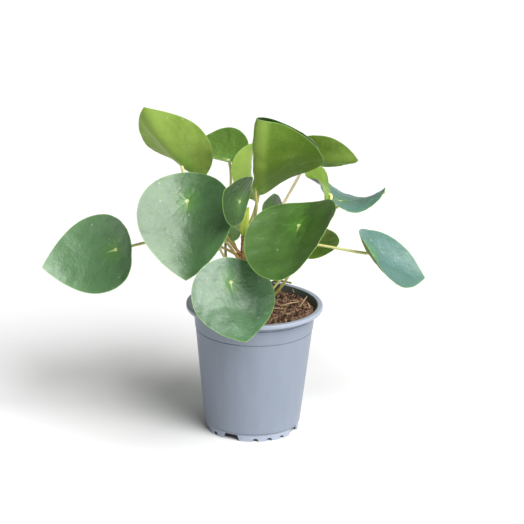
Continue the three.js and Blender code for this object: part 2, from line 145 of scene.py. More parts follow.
# Each kind of buckle: its height, its length, how far from the joint it is in full, and the shift of its seed
BUCKLES = ((0.17, 15, 10, 0), (0.55, 42, 16, 160))
SKIN_RIPPLE = (0.06, 5)
MARGIN_WAVE = 0.3
DIMPLE_DEPTH = 0.6
DIMPLE_RADIUS = 2.6

# ---- stem and stalks, as the solids have them ----

# The stem's centre line, the stalks' thickness with their swollen ends, and the gaps that the solids leave
STEM_POINTS = np.array([(0, 0, 88), (0, 1, 112), (-3, 2, 132), (-9, 1, 152), (-10.5, 0, 170), (-10, -1, 184)], float)
STEM_RADII = (3.8, 2.2)
STALK_RADIUS = 1.15
STALK_BASE_SWELL = 1.5
STALK_TIP_SWELL = 1.35
SWELL_REACH = 0.08
STALK_SIDES = 20
ROOT_GAP = 0.45
SEAT_GAP = 0.42
# Swollen nodes of the stem with a leaf scar each: the first, where they end, and how far apart they are
NODE_HEIGHTS = (113, 183, 5.6)
GOLDEN_ANGLE = math.radians(137.5)
NODE_SWELL = 0.34
NODE_DEPTH = 0.9
# A scar stands out at its border and is dented in its middle; it is this tall, and this wide in radians
SCAR_SWELL = 0.5
SCAR_DENT = 0.42
SCAR_HEIGHT = 1.1
SCAR_WIDTH = 0.5
# Ridges of the bark: height, length and seed of each size
BARK_RIDGES = ((0.16, 1.6, 12), (0.07, 0.6, 13))
STEM_DOME = 2.2
# The growing tip, the withered stalk and the papery scales, which only the scene has
BUD_CURVE = ((-10.4, -1.5, 176.0), (-13.2, -5.5, 188.0), (-6.8, -4.5, 204.0))
BUD_RADIUS = 5.0
BUD_FLATTENING = 0.25
BUD_CREASE = 0.12
OLD_STALK_CURVE = ((1.0, 5.0, 111.0), (8.0, 22.0, 133.0), (23.0, 41.0, 121.5), (32.0, 51.0, 116.0))
OLD_STALK_TAPER = 0.25
SCALE_LENGTH = 4.6
SCALE_WIDTH = 1.9
SCALE_RADIUS = 1.2
SCALE_THICKNESS = 0.28

# ---- pot, as the solid has it ----

POT_HEIGHT = 115.0
LIP_RADIUS = 60.0
LIP_DEPTH = 4.0
LIP_MOUTH_RADIUS = 55.5
WALL = 1.3
WALL_TOP_RADIUS = 53.6
WALL_FOOT_RADIUS = 42.3
# Each step in the wall: the height and the radius of its upper edge
UPPER_STEP = (107.5, 53.4)
LOWER_STEP = (94.0, 51.8)
STEP_DEPTH = 0.45
STEP_SLOPE = 0.4
GROOVE_WIDTH = 0.6
GROOVE_DEPTH = 0.5
FLOOR_HEIGHT = 7.0
FOOT_RADIUS = 41.3
FOOT_WALL = 1.6
DISH_RADIUS = 14.0
DISH_SLOPE = 5.0
# The bearing at which the first quarter of the foot ring starts, in degrees from the front
FOOT_START = -37.5
# The foot ring's wide gap and its notches: how many degrees each spans, and its height
WIDE_GAP = (22.5, 5.4)
NOTCH = (7.5, 2.9)
# The wide gap's ends rise over this many degrees; a notch is an ellipse at 0.5 and fuller below
GAP_SLANT = 3.0
NOTCH_ROUNDNESS = 0.4
# The teeth before the three notches, in degrees
TEETH = (16, 10, 10)
POT_SHARP = 35.0
DRAIN_HOLES = 6
DRAIN_HOLE_RADIUS = 3.5
DRAIN_CIRCLE_RADIUS = 29.0

# ---- compost, as the solid has it, and its loose bits ----

SOIL_EDGE_HEIGHT = 108.8
SOIL_MOUND = 1.6
GAP = 0.3
# Lumps of the compost's top: height, length and seed of each size
SOIL_LUMPS = ((0.55, 24, 31), (0.55, 9, 32), (0.4, 3.5, 33))
# A small round hollow in the compost, behind the stem and to its right
SOIL_HOLLOW = (22, 24)
SOIL_HOLLOW_DEPTH = 3.2
SOIL_HOLLOW_RADIUS = 3
SOIL_RADIUS = 52.0
SOIL_SHRINK = 0.15
SCATTER_RADIUS = 50.6
SMALLEST_LUMP = 0.35
SMALLEST_CHIP = 0.8
FIBRE_SPREAD = 49
FIBRE_LIMIT = 50.5


# ---- small tools ----


def linear(code):
    """An sRGB hex colour as linear red, green, blue and alpha: c / 12.92 where dark, ((c + 0.055) / 1.055) ** 2.4."""
    values = [int(code[i:i + 2], 16) / 255 for i in (1, 3, 5)]
    return [c / 12.92 if c <= 0.04045 else ((c + 0.055) / 1.055) ** 2.4 for c in values] + [1.0]


def fill(node, inputs):
    """Links a node's sockets to other nodes' outputs or sets them to values, by name or in their order."""
    for key, value in inputs.items() if isinstance(inputs, dict) else enumerate(inputs):
        if isinstance(value, bpy.types.NodeSocket):
            node.id_data.links.new(value, node.inputs[key])
        else:
            node.inputs[key].default_value = value


def add(tree, kind, inputs=(), out=0, **settings):
    """Adds a shader node with its settings and its sockets filled, and returns one of its outputs."""
    node = tree.nodes.new("ShaderNode" + kind)
    for key, value in settings.items():
        setattr(node, key, value)
    fill(node, inputs)
    return node.outputs[out]


def unit(vectors):
    """v / |v| along the last axis."""
    return vectors / np.maximum(np.linalg.norm(vectors, axis=-1, keepdims=True), 1e-12)


def around(sides):
    """Angles at even steps round a turn."""
    return np.arange(sides) * TURN / sides


def length_along(path):
    """The length run along a path at each of its points."""
    return np.concatenate([[0], np.cumsum(np.linalg.norm(np.diff(path, axis=0), axis=1))])


def bezier(corners, t):
    """The Bezier curve of n + 1 corners: the sum of choose(n, i) * (1 - t)^(n - i) * t^i * corner_i."""
    n = len(corners) - 1
    return sum(math.comb(n, i) * (1 - t) ** (n - i) * t ** i * np.asarray(c, float) for i, c in enumerate(corners))


def ripples(points, size, seed, waves=14):
    """Smooth noise of about -1 to 1: the sum of n sine waves of random direction, length and phase, over sqrt n."""
    random = np.random.default_rng(seed)
    heading = unit(random.normal(size=(waves, points.shape[-1])))
    number = TURN / (size * random.uniform(0.7, 1.5, waves))
    phase = random.uniform(0, TURN, waves)
    return np.sin(points @ (heading * number[:, None]).T + phase).sum(-1) / math.sqrt(waves)


def make_object(name, points, faces, materials, slots=None, uv=None, values=None, sharp=40.0):
    """A mesh object from points in mm and faces as index rows, with material slots, a UV map and point values."""
    mesh = bpy.data.meshes.new(name)
    mesh.from_pydata((np.asarray(points) * MM).tolist(), [], [list(face) for face in faces])
    for material in materials:
        mesh.materials.append(material)
    if slots is not None:
        mesh.polygons.foreach_set("material_index", np.asarray(slots, np.int32))
    if uv is not None:
        corner = np.empty(len(mesh.loops), np.int32)
        mesh.loops.foreach_get("vertex_index", corner)
        layer = mesh.uv_layers.new(name=UV_NAME)
        layer.data.foreach_set("uv", np.asarray(uv, np.float32)[corner].ravel())
    for key, value in (values or {}).items():
        attribute = mesh.attributes.new(key, "FLOAT", "POINT")
        attribute.data.foreach_set("value", np.broadcast_to(value, len(points)).astype(np.float32).copy())
    mesh.polygons.foreach_set("use_smooth", np.ones(len(mesh.polygons), bool))
    mesh.set_sharp_from_angle(angle=math.radians(sharp))
    mesh.update()
    made = bpy.data.objects.new(name, mesh)
    bpy.context.scene.collection.objects.link(made)
    return made


def slot_of(node):
    """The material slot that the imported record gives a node."""
    return next(part["material_slot"] for part in frame["record"]["subparts"] if part["node"] == node)


def put(piece, slot, *nodes):
    """Lets a piece ride on the plant's body and hides the nodes that it stands for; its slot is not used."""
    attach(piece, BODY)
    if nodes:
        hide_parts(*nodes)


def ring_faces(rings, sides, start=0):
    """Quads between rings of the same number of points: (i, j), (i, j + 1), (i + 1, j + 1), (i + 1, j)."""
    i, j = np.meshgrid(np.arange(rings - 1), np.arange(sides), indexing="ij")
    k = (j + 1) % sides
    quads = np.stack([i * sides + j, i * sides + k, (i + 1) * sides + k, (i + 1) * sides + j], -1)
    return quads.reshape(-1, 4) + start


def fan(middle, first, sides, flip=False):
    """Triangles from a middle point to each pair of neighbours in a ring."""
    j = np.arange(sides)
    k = (j + 1) % sides
    if flip:
        j, k = k, j
    return np.stack([np.full(sides, middle), first + j, first + k], -1)


def shell_faces(rings, sides, flip=False):
    """A closed shell: quads between its rings, and a fan to each of the two middle points that follow them."""
    count = rings * sides
    quads = ring_faces(rings, sides)
    if flip:
        quads = quads[:, [0, 3, 2, 1]]
    ends = [fan(count, 0, sides, not flip), fan(count + 1, count - sides, sides, flip)]
    return quads.tolist() + np.vstack(ends).tolist()


def tube(path, radius, sides):
    """A closed round tube: path(s) + radius(s, a) * (cos a * n + sin a * b), n and b carried square to the path."""
    path = np.asarray(path, float)
    along = unit(np.gradient(path, axis=0))
    n = np.zeros_like(path)
    n[0] = unit(np.cross(along[0], np.eye(3)[np.argmin(np.abs(along[0]))]))
    for step in range(1, len(path)):
        n[step] = unit(n[step - 1] - (n[step - 1] @ along[step]) * along[step])
    b = np.cross(along, n)
    angle = around(sides)
    radius = np.broadcast_to(np.asarray(radius, float).reshape(len(path), -1), (len(path), sides))
    circle = np.cos(angle)[:, None] * n[:, None] + np.sin(angle)[:, None] * b[:, None]
    points = (path[:, None] + radius[..., None] * circle).reshape(-1, 3)
    length = length_along(path)
    share = np.concatenate([np.repeat(length / length[-1], sides), [0, 1]])
    return np.vstack([points, path[0], path[-1]]), shell_faces(len(path), sides), share


# ---- blades ----


def leaf_of(name):
    """A leaf's numbers by their names."""
    return dict(zip(LEAF_KEYS, LEAF_ROWS[name]))


def blade_frame(leaf):
    """Across, towards the point, and up from the upper side, as unit vectors at the joint."""
    facing, raised, swing = (math.radians(leaf[key]) for key in ("bearing", "tilt", "turn"))
    up = np.array([math.cos(raised) * math.cos(facing), math.cos(raised) * math.sin(facing), math.sin(raised)])
    down = np.array([math.sin(raised) * math.cos(facing), math.sin(raised) * math.sin(facing), -math.cos(raised)])
    point = down * math.cos(swing) + np.cross(down, up) * math.sin(swing)
    return np.cross(point, up), point, up


def outline(leaf, angle):
    """Flat outline: u = w/2 * cos a * (1 - n sin a), v = l/2 * (1 - 2 seat + sin a) + p * (1 - |a - 90| / 62)^2.2."""
    off = np.abs((angle - math.pi / 2 + math.pi) % TURN - math.pi) / POINT_SPREAD
    u = leaf["width"] / 2 * np.cos(angle) * (1 - BLADE_NARROWING * np.sin(angle))
    v = leaf["length"] / 2 * (1 - 2 * BLADE_SEAT + np.sin(angle))
    return u, v + leaf["point"] * np.clip(1 - off, 0, 1) ** POINT_SHARPNESS


def arc(reach, curvature, slope):
    """Where an arc of that length ends: ((sin e - sin s) / k, (cos s - cos e) / k) with e = s + k * reach."""
    k = np.where(np.abs(curvature) < 1e-6, 1e-6, curvature)
    end = slope + k * reach
    return (np.sin(end) - np.sin(slope)) / k, (np.cos(slope) - np.cos(end)) / k


def blade_point(leaf, u, v):
    """The bent blade: halves folded and curled across, the midrib drooping along, and a twist about it.

    Across, each half is an arc that starts at the slope of its fold. Along, the midrib is one arc from the joint to
    the point and one to the heel. Each cross section is turned about the midrib by its share of the twist.
    """
    half = leaf["width"] / 2
    right = u >= 0
    fold = np.where(right, leaf["fold_right"], leaf["fold_left"])
    crease = np.where(np.abs(fold) < SHALLOW_FOLD, SOFT_CREASE, CREASE)
    opening = np.tanh(np.abs(u) / (crease * half))
    slope = np.radians(fold) * opening
    bend = np.radians(np.where(right, leaf["curl_right"], leaf["curl_left"])) / half
    x, lift = arc(np.abs(u), bend, slope)
    x = np.where(right, x, -x)
    ahead = v >= 0
    reach = leaf["length"] * np.where(ahead, 1 - BLADE_SEAT, BLADE_SEAT)
    bow = -np.radians(np.where(ahead, leaf["droop"], leaf["heel"])) / reach
    along, rise = arc(np.abs(v), bow, 0.0)
    lean = bow * v
    roll = math.radians(leaf["twist"]) * v / (leaf["length"] * (1 - BLADE_SEAT))
    rolled = x * np.cos(roll) - lift * np.sin(roll)
    lift = x * np.sin(roll) + lift * np.cos(roll)
    y = np.where(ahead, along, -along) - lift * np.sin(lean)
    z = rise + lift * np.cos(lean)
    across, point, up = blade_frame(leaf)
    return np.array(leaf["joint"], float) + rolled[..., None] * across + y[..., None] * point + z[..., None] * up


def vein_dips(u, v, width):
    """1 on a main vein and 0 beside it: exp(-(r * |a - a_i(r)| / width)^2), a_i = angle * (1 - bend * r)."""
    r = np.hypot(u, v)
    angle = np.abs(np.arctan2(u, v))
    dips = np.zeros_like(r)
    for vein in VEIN_ANGLES:
        off = r * np.abs(angle - vein * (1 - VEIN_BEND * r))
        dips = np.maximum(dips, np.exp(-(off / width) ** 2))
    return dips


def blade_relief(leaf, u, v, share, seed):
    """Height above the smooth blade: veins pressed in round the joint, buckles, ripples, a wavy margin, a dimple."""
    r = np.hypot(u, v)
    flat = np.stack([u, v], -1)
    heading = flat / np.maximum(r, 1)[..., None]
    size = leaf["width"] / TYPICAL_WIDTH
    fade = 0.15 + 0.85 * np.exp(-(r / (VEIN_REACH * size)) ** 2)
    depth = size * (VEIN_DEPTH + VEIN_DEPTH_SPREAD * ripples(heading, 1.6, seed + 120))
    relief = -depth * vein_dips(u, v, VEIN_WIDTH) * np.clip(r / 4, 0, 1) * fade * np.clip(1.15 - share, 0, 1)
    for height, length, full, shift in BUCKLES:
        relief += height * size * ripples(flat, length * size, seed + shift) * np.clip(r / full, 0, 1)
    relief += SKIN_RIPPLE[0] * ripples(flat, SKIN_RIPPLE[1], seed + 40)
    relief += MARGIN_WAVE * size * share ** 3 * ripples(heading, 1.1, seed + 80)
    return relief - DIMPLE_DEPTH * np.exp(-(r / DIMPLE_RADIUS) ** 2)


def make_blade(name, number, materials):
    """Two faces of the blade and a thin rim: mid(u, v) + n * (relief +- thickness / 2), u and v = share * outline."""
    leaf = leaf_of(name)
    share = (np.arange(1, BLADE_RINGS + 1) / BLADE_RINGS)[:, None] ** 1.1
    edge_u, edge_v = outline(leaf, around(BLADE_SECTORS))
    u = np.concatenate([[0], (share * edge_u).ravel()])
    v = np.concatenate([[0], (share * edge_v).ravel()])
    share = np.concatenate([[0], np.repeat(share.ravel(), BLADE_SECTORS)])
    reach = np.concatenate([[1], np.tile(np.hypot(edge_u, edge_v), BLADE_RINGS)])
    step = 0.5
    across = blade_point(leaf, u + step, v) - blade_point(leaf, u - step, v)
    along = blade_point(leaf, u, v + step) - blade_point(leaf, u, v - step)
    normal = unit(np.cross(across, along))
    middle = blade_point(leaf, u, v) + normal * blade_relief(leaf, u, v, share, number)[:, None]
    thick = BLADE_THICKNESS + (MARGIN_THICKNESS - BLADE_THICKNESS) * share ** 4
    points = np.vstack([middle + normal * thick[:, None] / 2, middle - normal * thick[:, None] / 2])
    size = len(u)
    heart = fan(0, 1, BLADE_SECTORS)
    inner = ring_faces(BLADE_RINGS, BLADE_SECTORS, 1)[:, [0, 3, 2, 1]]
    _, low, high = fan(0, size - BLADE_SECTORS, BLADE_SECTORS).T
    rim = np.stack([low, size + low, size + high, high], -1)
    faces = heart.tolist() + inner.tolist() + (heart[:, ::-1] + size).tolist()
    faces += (inner[:, ::-1] + size).tolist() + rim.tolist()
    upper = len(heart) + len(inner)
    slots = [0] * upper + [1] * (upper + len(rim))
    uv = np.tile(np.stack([u, v], -1) / UV_SPAN + 0.5, (2, 1))
    values = dict(zip(LOOK_KEYS, LEAF_LOOKS[name]), inset=np.tile((1 - share) * reach, 2), seed=number * 7.3)
    return make_object(f"{name}_blade_fine", points, faces, materials, slots, uv, values, sharp=60.0)


# ---- stem and stalks ----


def stem_at(share):
    """A point of the stem's centre line, a centripetal Catmull-Rom curve through its points as the solid has it."""
    last = len(STEM_POINTS) - 1
    place = share * last
    i = min(int(place), last - 1)
    w = place - i
    p1, p2 = STEM_POINTS[i], STEM_POINTS[i + 1]
    p0 = STEM_POINTS[i - 1] if i > 0 else 2 * p1 - p2
    p3 = STEM_POINTS[i + 2] if i + 2 <= last else 2 * p2 - p1
    d0, d1, d2 = (math.sqrt(np.linalg.norm(b - a)) for a, b in ((p0, p1), (p1, p2), (p2, p3)))
    t1 = ((p1 - p0) / d0 - (p2 - p0) / (d0 + d1) + (p2 - p1) / d1) * d1
    t2 = ((p2 - p1) / d1 - (p3 - p1) / (d1 + d2) + (p3 - p2) / d2) * d1
    return p1 + t1 * w + (3 * (p2 - p1) - 2 * t1 - t2) * w ** 2 + (2 * (p1 - p2) + t1 + t2) * w ** 3


def stem_radius(share):
    """A straight taper from the foot to the top."""
    return STEM_RADII[0] + (STEM_RADII[1] - STEM_RADII[0]) * share


def stalk_path(leaf, steps):
    """A cubic Bezier curve from the stem's bark to the blade's underside, run on a little into both."""
    leave = np.array(leaf["leave"], float)
    rise = leave[2] / np.linalg.norm(leave)
    sideways = unit(np.array([leave[0], leave[1], 0.0]))
    clear = stem_radius(leaf["start"]) + ROOT_GAP + STALK_RADIUS * STALK_BASE_SWELL * rise
    root = stem_at(leaf["start"]) + sideways * clear
    up = blade_frame(leaf)[2]
    seat = np.array(leaf["joint"], float) - up * (BLADE_THICKNESS / 2 + SEAT_GAP)
    below = seat - up * leaf["arrive"]
    curve = bezier((root, root + leave, below, seat), np.linspace(0, 1, steps)[:, None])
    inside = stem_at(leaf["start"]) + np.array([0, 0, -1.2])
    return np.vstack([inside, inside * 0.45 + root * 0.55 - [0, 0, 0.4], curve, seat + up * (SEAT_GAP + 0.1)])


def stalk_radii(share):
    """R * (1 + base * e^(-s / reach) + tip * e^((s - 1) / reach)), a swollen root and a small collar at the blade."""
    base = (STALK_BASE_SWELL - 1) * np.exp(-share / SWELL_REACH)
    tip = (STALK_TIP_SWELL - 1) * np.exp((share - 1) / SWELL_REACH)
    return STALK_RADIUS * (1 + base + tip)


def make_stalk(name, number, materials):
    """A tube along the stalk's curve, slightly ribbed and uneven along its length."""
    path = stalk_path(leaf_of(name), 72)
    length = length_along(path)
    angle = around(STALK_SIDES)
    slow = 1 + 0.05 * ripples(length[:, None], 16, number + 200)
    ribs = 1 + 0.03 * np.cos(5 * angle) + 0.02 * np.cos(9 * angle + number)
    radius = (stalk_radii(length / length[-1]) * slow)[:, None] * ribs
    points, faces, share = tube(path, radius, STALK_SIDES)
    values = {"share": share, "blush": LEAF_LOOKS[name][LOOK_KEYS.index("blush")]}
    return make_object(f"{name}_stalk_fine", points, faces, materials, values=values)


def make_stem(material):
    """r(s, a) = taper + swollen nodes + oval leaf scars, dented in the middle, + bark ridges, with a rounded top."""
    sides = 44
    share = np.linspace(0, 1, 150)
    path = np.array([stem_at(value) for value in share])
    angle = around(sides)
    height = path[:, 2]
    radius = np.repeat(stem_radius(share)[:, None], sides, 1)
    random = np.random.default_rng(11)
    nodes = np.arange(*NODE_HEIGHTS)
    nodes += random.uniform(-1, 1, len(nodes))
    for index, node in enumerate(nodes):
        ring = np.exp(-((height - node) / NODE_DEPTH) ** 2)[:, None]
        off = (angle - index * GOLDEN_ANGLE + math.pi) % TURN - math.pi
        scar = np.exp(-((height - node - SCAR_HEIGHT) / SCAR_HEIGHT) ** 2)[:, None] * np.exp(-(off / SCAR_WIDTH) ** 2)
        radius += NODE_SWELL * ring + SCAR_SWELL * scar - SCAR_DENT * scar ** 3
    grid = np.stack(np.broadcast_arrays(height[:, None] / 7, 2.4 * np.cos(angle), 2.4 * np.sin(angle)), -1)
    radius += sum(tall * ripples(grid, long, seed) for tall, long, seed in BARK_RIDGES)
    above = height - (height[-1] - STEM_DOME)
    dome = np.sqrt(np.clip(1 - (above / (STEM_DOME + 0.1)) ** 2, 0.02, 1))
    radius *= np.where(above > 0, dome, 1)[:, None]
    points, faces, _ = tube(path, radius, sides)
    return make_object("main_stem_fine", points, faces, [material])


def make_bud(material):
    """The growing tip: a folded young leaf as a flattened spindle, r(s) * (1 - flattening * cos^2 a - crease)."""
    sides = 28
    t = np.linspace(0, 1, 40)[:, None]
    angle = around(sides)
    profile = 0.5 + BUD_RADIUS * np.sin(math.pi * t ** 0.8) ** 0.9 * (0.62 + 0.38 * t)
    section = 1 - BUD_FLATTENING * np.cos(angle) ** 2 - BUD_CREASE * np.exp(-((angle - math.pi) / 0.25) ** 2)
    points, faces, share = tube(bezier(BUD_CURVE, t), profile * section, sides)
    return make_object("top_bud", points, faces, [material], values={"share": share})


def make_old_stalk(material):
    """A withered stalk that has lost its leaf: a Bezier curve from the stem's foot to the lip, thinner at its end."""
    t = np.linspace(0, 1, 60)[:, None]
    path = bezier(OLD_STALK_CURVE, t)
    radius = (STALK_RADIUS - OLD_STALK_TAPER * t) * (1 + 0.08 * ripples(path, 9, 71))[:, None]
    points, faces, share = tube(path, radius, 16)
    return make_object("old_stalk", points, faces, [material], values={"shade": share})


def make_scales(material):
    """Papery scales at the stalks' roots: a pointed shell, x = w (1 - t^1.6) sin a, y = r cos a + 0.9 t, z = l t.

    Each is turned outwards to its stalk, leant a little away from the stem, and slightly larger or smaller.
    """
    t, a = np.meshgrid(np.linspace(0, 1, 8), np.linspace(-1, 1, 7), indexing="ij")
    x = SCALE_WIDTH * (1 - t ** 1.6) * np.sin(a) + 0.02 * a
    inner = np.stack([x, SCALE_RADIUS * np.cos(a) + 0.9 * t, SCALE_LENGTH * t], -1).reshape(-1, 3)
    outer = inner + [0, SCALE_THICKNESS, 0]
    rows, columns = t.shape
    i, j = np.meshgrid(np.arange(rows - 1), np.arange(columns - 1), indexing="ij")
    here = i * columns + j
    front = np.stack([here, here + columns, here + columns + 1, here + 1], -1).reshape(-1, 4)
    # The shell's border, once round
    border = np.concatenate([
        np.arange(columns), np.arange(1, rows) * columns + columns - 1,
        (rows - 1) * columns + np.arange(columns - 2, -1, -1), np.arange(rows - 2, 0, -1) * columns,
    ])
    after = np.roll(border, -1)
    size = len(inner)
    edge = np.stack([border, after, after + size, border + size], -1)
    one = np.vstack([inner, outer])
    shell = np.vstack([front[:, ::-1], front + size, edge[:, ::-1]])
    points, faces = [], []
    for number, name in enumerate(LEAF_ROWS):
        leaf = leaf_of(name)
        outwards = unit(np.array([leaf["leave"][0], leaf["leave"][1], 0.0]))
        sideways = np.array([-outwards[1], outwards[0], 0.0])
        lean = unit(outwards * 0.35 + np.array([0, 0, 1.0]))
        place = stem_at(leaf["start"]) + outwards * (stem_radius(leaf["start"]) - 0.6) - [0, 0, 3.4]
        turned = one[:, :1] * sideways + one[:, 1:2] * outwards + one[:, 2:] * lean
        points.append(place + turned * (0.8 + 0.3 * ((number * 0.37) % 1)))
        faces.append(shell + number * len(one))
    return make_object("stem_scales", np.vstack(points), np.vstack(faces).tolist(), [material])


# ---- compost ----


def compost_height(x, y):
    """Mound + lumps: edge + mound * (1 - (r / 52)^2) + ripples that fade at the edge - a round hollow."""
    r = np.hypot(x, y)
    flat = np.stack([x, y], -1)
    lumps = sum(height * ripples(flat, length, seed) for height, length, seed in SOIL_LUMPS)
    away = np.hypot(x - SOIL_HOLLOW[0], y - SOIL_HOLLOW[1])
    hollow = SOIL_HOLLOW_DEPTH * np.exp(-(away / SOIL_HOLLOW_RADIUS) ** 2)
    rim = np.clip((SOIL_RADIUS - 0.2 - r) / 3, 0, 1)
    return SOIL_EDGE_HEIGHT + SOIL_MOUND * (1 - (r / SOIL_RADIUS) ** 2) + lumps * rim - hollow


def make_compost(material):
    """A lathed body whose top is a polar grid lifted by compost_height."""
    sides, rings = 240, 76
    edge = WALL_TOP_RADIUS - WALL - GAP - SOIL_SHRINK
    share = np.arange(1, rings + 1) / rings
    angle = around(sides)
    x = (edge * share[:, None] * np.cos(angle)).ravel()
    y = (edge * share[:, None] * np.sin(angle)).ravel()
    top = np.stack([x, y, compost_height(x, y)], -1)
    floor = FLOOR_HEIGHT + WALL + GAP
    skirt = [
        (LOWER_STEP[1] - STEP_DEPTH - WALL - GAP, LOWER_STEP[0]),
        (WALL_FOOT_RADIUS - WALL - GAP, floor),
        (DISH_RADIUS + DISH_SLOPE - WALL - GAP, floor),
        (DISH_RADIUS - WALL - GAP, WALL + GAP),
    ]
    low = [np.stack([r * np.cos(angle), r * np.sin(angle), np.full(sides, z)], -1) for r, z in skirt]
    centre = [[0, 0, float(compost_height(np.array(0.0), np.array(0.0)))], [0, 0, WALL + GAP]]
    faces = shell_faces(rings + len(skirt), sides, flip=True)
    return make_object("compost", np.vstack([top, *low, centre]), faces, [material], sharp=70.0)


def lump_shape():
    """An icosahedron: two points and two rings of five at z = +-1 / sqrt 5 and radius 2 / sqrt 5."""
    z = 1 / math.sqrt(5)
    angle = around(5)
    ring = np.stack([2 * z * np.cos(angle), 2 * z * np.sin(angle), np.full(5, z)], -1)
    angle = angle + math.pi / 5
    low = np.stack([2 * z * np.cos(angle), 2 * z * np.sin(angle), np.full(5, -z)], -1)
    corners = np.vstack([[0, 0, 1], ring, low, [0, 0, -1]])
    j = np.arange(5)
    k = (j + 1) % 5
    # The band of ten triangles between the two rings
    sides = [np.stack([1 + j, 6 + j, 1 + k], -1), np.stack([6 + j, 6 + k, 1 + k], -1)]
    return corners, np.vstack([fan(0, 1, 5), *sides, fan(11, 6, 5, True)])


def scatter_lumps(name, count, smallest, largest, flatness, seed, material):
    """Small lumps on the compost: random turn * (size * stretch * (corner + noise)) + (x, y, compost_height)."""
    random = np.random.default_rng(seed)
    corners, faces = lump_shape()
    spread = np.sqrt(random.uniform(0.01, 1, count)) * SCATTER_RADIUS
    bearing = random.uniform(0, TURN, count)
    x, y = spread * np.cos(bearing), spread * np.sin(bearing)
    size = smallest + (largest - smallest) * random.uniform(0, 1, count) ** 2.6
    spin = unit(random.normal(size=(count, 4)))
    w, a, b, c = spin.T
    # The turning matrix of each unit quaternion w, a, b, c
    turn = np.stack([
        1 - 2 * (b * b + c * c), 2 * (a * b - c * w), 2 * (a * c + b * w),
        2 * (a * b + c * w), 1 - 2 * (a * a + c * c), 2 * (b * c - a * w),
        2 * (a * c - b * w), 2 * (b * c + a * w), 1 - 2 * (a * a + b * b),
    ], -1).reshape(count, 3, 3)
    long, wide, high = (random.uniform(least, most, count) for least, most in ((0.8, 1.7), (0.6, 1.1), (0.6, 1.2)))
    stretch = np.stack([long, wide, flatness * high], -1)
    rough = corners[None] * (1 + random.uniform(-0.35, 0.35, (count, len(corners), 1)))
    shape = np.einsum("nij,nkj->nki", turn, rough * stretch[:, None])
    place = np.stack([x, y, compost_height(x, y) + size * flatness * 0.35], -1)
    points = (shape * size[:, None, None] + place[:, None]).reshape(-1, 3)
    rows = (faces[None] + len(corners) * np.arange(count)[:, None, None]).reshape(-1, 3)
    shade = np.repeat(random.uniform(0, 1, count), len(corners))
    return make_object(name, points, rows.tolist(), [material], values={"shade": shade}, sharp=25.0)


def strand(path, radius, sides=5):
    """A closed thin tube that tapers at both ends, radius * (0.25 + 0.75 * sin(pi * s)^0.4)."""
    t = np.linspace(0, 1, len(path))
    return tube(path, radius * (0.25 + 0.75 * np.sin(math.pi * np.clip(t, 0.02, 0.98)) ** 0.4), sides)


# Fibres that stand out on the compost: where each starts, the point it bends towards, where it ends, its radius
LOOSE_FIBRES = (
    ((24.0, 4.5, 111.2), (31.5, 9.0, 112.4), (38.5, 14.6, 111.0), 0.55),
    ((39.0, 2.0, 110.4), (42.5, 5.0, 114.5), (46.0, 8.5, 119.0), 0.50),
    ((46.0, 15.0, 110.6), (47.8, 8.0, 111.6), (48.6, 1.5, 110.4), 0.80),
    ((35.6, 40.0, 109.2), (34.6, 40.5, 111.6), (33.2, 40.0, 114.2), 0.40),
    ((30.0, 20.0, 110.6), (34.0, 16.0, 112.2), (40.0, 15.0, 110.8), 0.40),
    ((12.0, -8.0, 111.6), (20.0, -4.0, 112.6), (27.0, -5.0, 111.0), 0.45),
    ((-20.0, 18.0, 111.0), (-28.0, 22.0, 113.0), (-35.0, 20.0, 110.6), 0.50),
    ((-30.0, -12.0, 110.8), (-24.0, -20.0, 112.6), (-15.0, -24.0, 111.0), 0.45),
)


def make_fibres(material, count):
    """Coir fibres as thin bent strands: start + heading * s + sideways bend * s * (1 - s), laid on the compost."""
    random = np.random.default_rng(57)
    points, faces, shade = [], [], []
    total = 0
    t = np.linspace(0, 1, 7)
    for number in range(count + len(LOOSE_FIBRES)):
        if number < count:
            r, bearing = FIBRE_SPREAD * math.sqrt(random.uniform(0.02, 1)), random.uniform(0, TURN)
            heading, length = random.uniform(0, TURN), random.uniform(3, 13)
            x = r * math.cos(bearing) + (t - 0.5) * length * math.cos(heading)
            y = r * math.sin(bearing) + (t - 0.5) * length * math.sin(heading)
            bow = random.uniform(-0.3, 0.3) * length * t * (1 - t) * 2
            x, y = x - bow * math.sin(heading), y + bow * math.cos(heading)
            pull = np.minimum(1, FIBRE_LIMIT / np.maximum(np.hypot(x, y), 1e-6))
            x, y = x * pull, y * pull
            z = compost_height(x, y).mean() + random.uniform(-0.2, 0.7)
            z = z + (t - 0.4) * random.uniform(-0.1, 0.22) * length + 0.6 * np.sin(math.pi * t)
            path, radius = np.stack([x, y, z], -1), random.uniform(0.11, 0.26)
        else:
            *corners, radius = LOOSE_FIBRES[number - count]
            path = bezier(corners, t[:, None])
        made, rows, _ = strand(path, radius)
        points.append(made)
        faces += [[corner + total for corner in row] for row in rows]
        total += len(made)
        shade.append(np.full(len(made), random.uniform(0, 1) if number < count else 0.9))
    return make_object("compost_fibres", np.vstack(points), faces, [material], values={"shade": np.concatenate(shade)})


# ---- pot ----


def rounded(corners, steps):
    """A profile with each corner (r, z, fillet) replaced by the curve (1 - t)^2 a + 2 t (1 - t) c + t^2 b."""
    made = []
    t = np.linspace(0, 1, steps)[:, None]
    for index, (r, z, fillet) in enumerate(corners):
        corner = np.array([r, z])
        if fillet == 0:
            made.append(corner)
            continue
        before = np.array(corners[index - 1][:2])
        after = np.array(corners[index + 1][:2])
        a = corner + unit(before - corner) * fillet
        b = corner + unit(after - corner) * fillet
        made.extend(bezier((a, corner, b), t))
    return np.array(made)


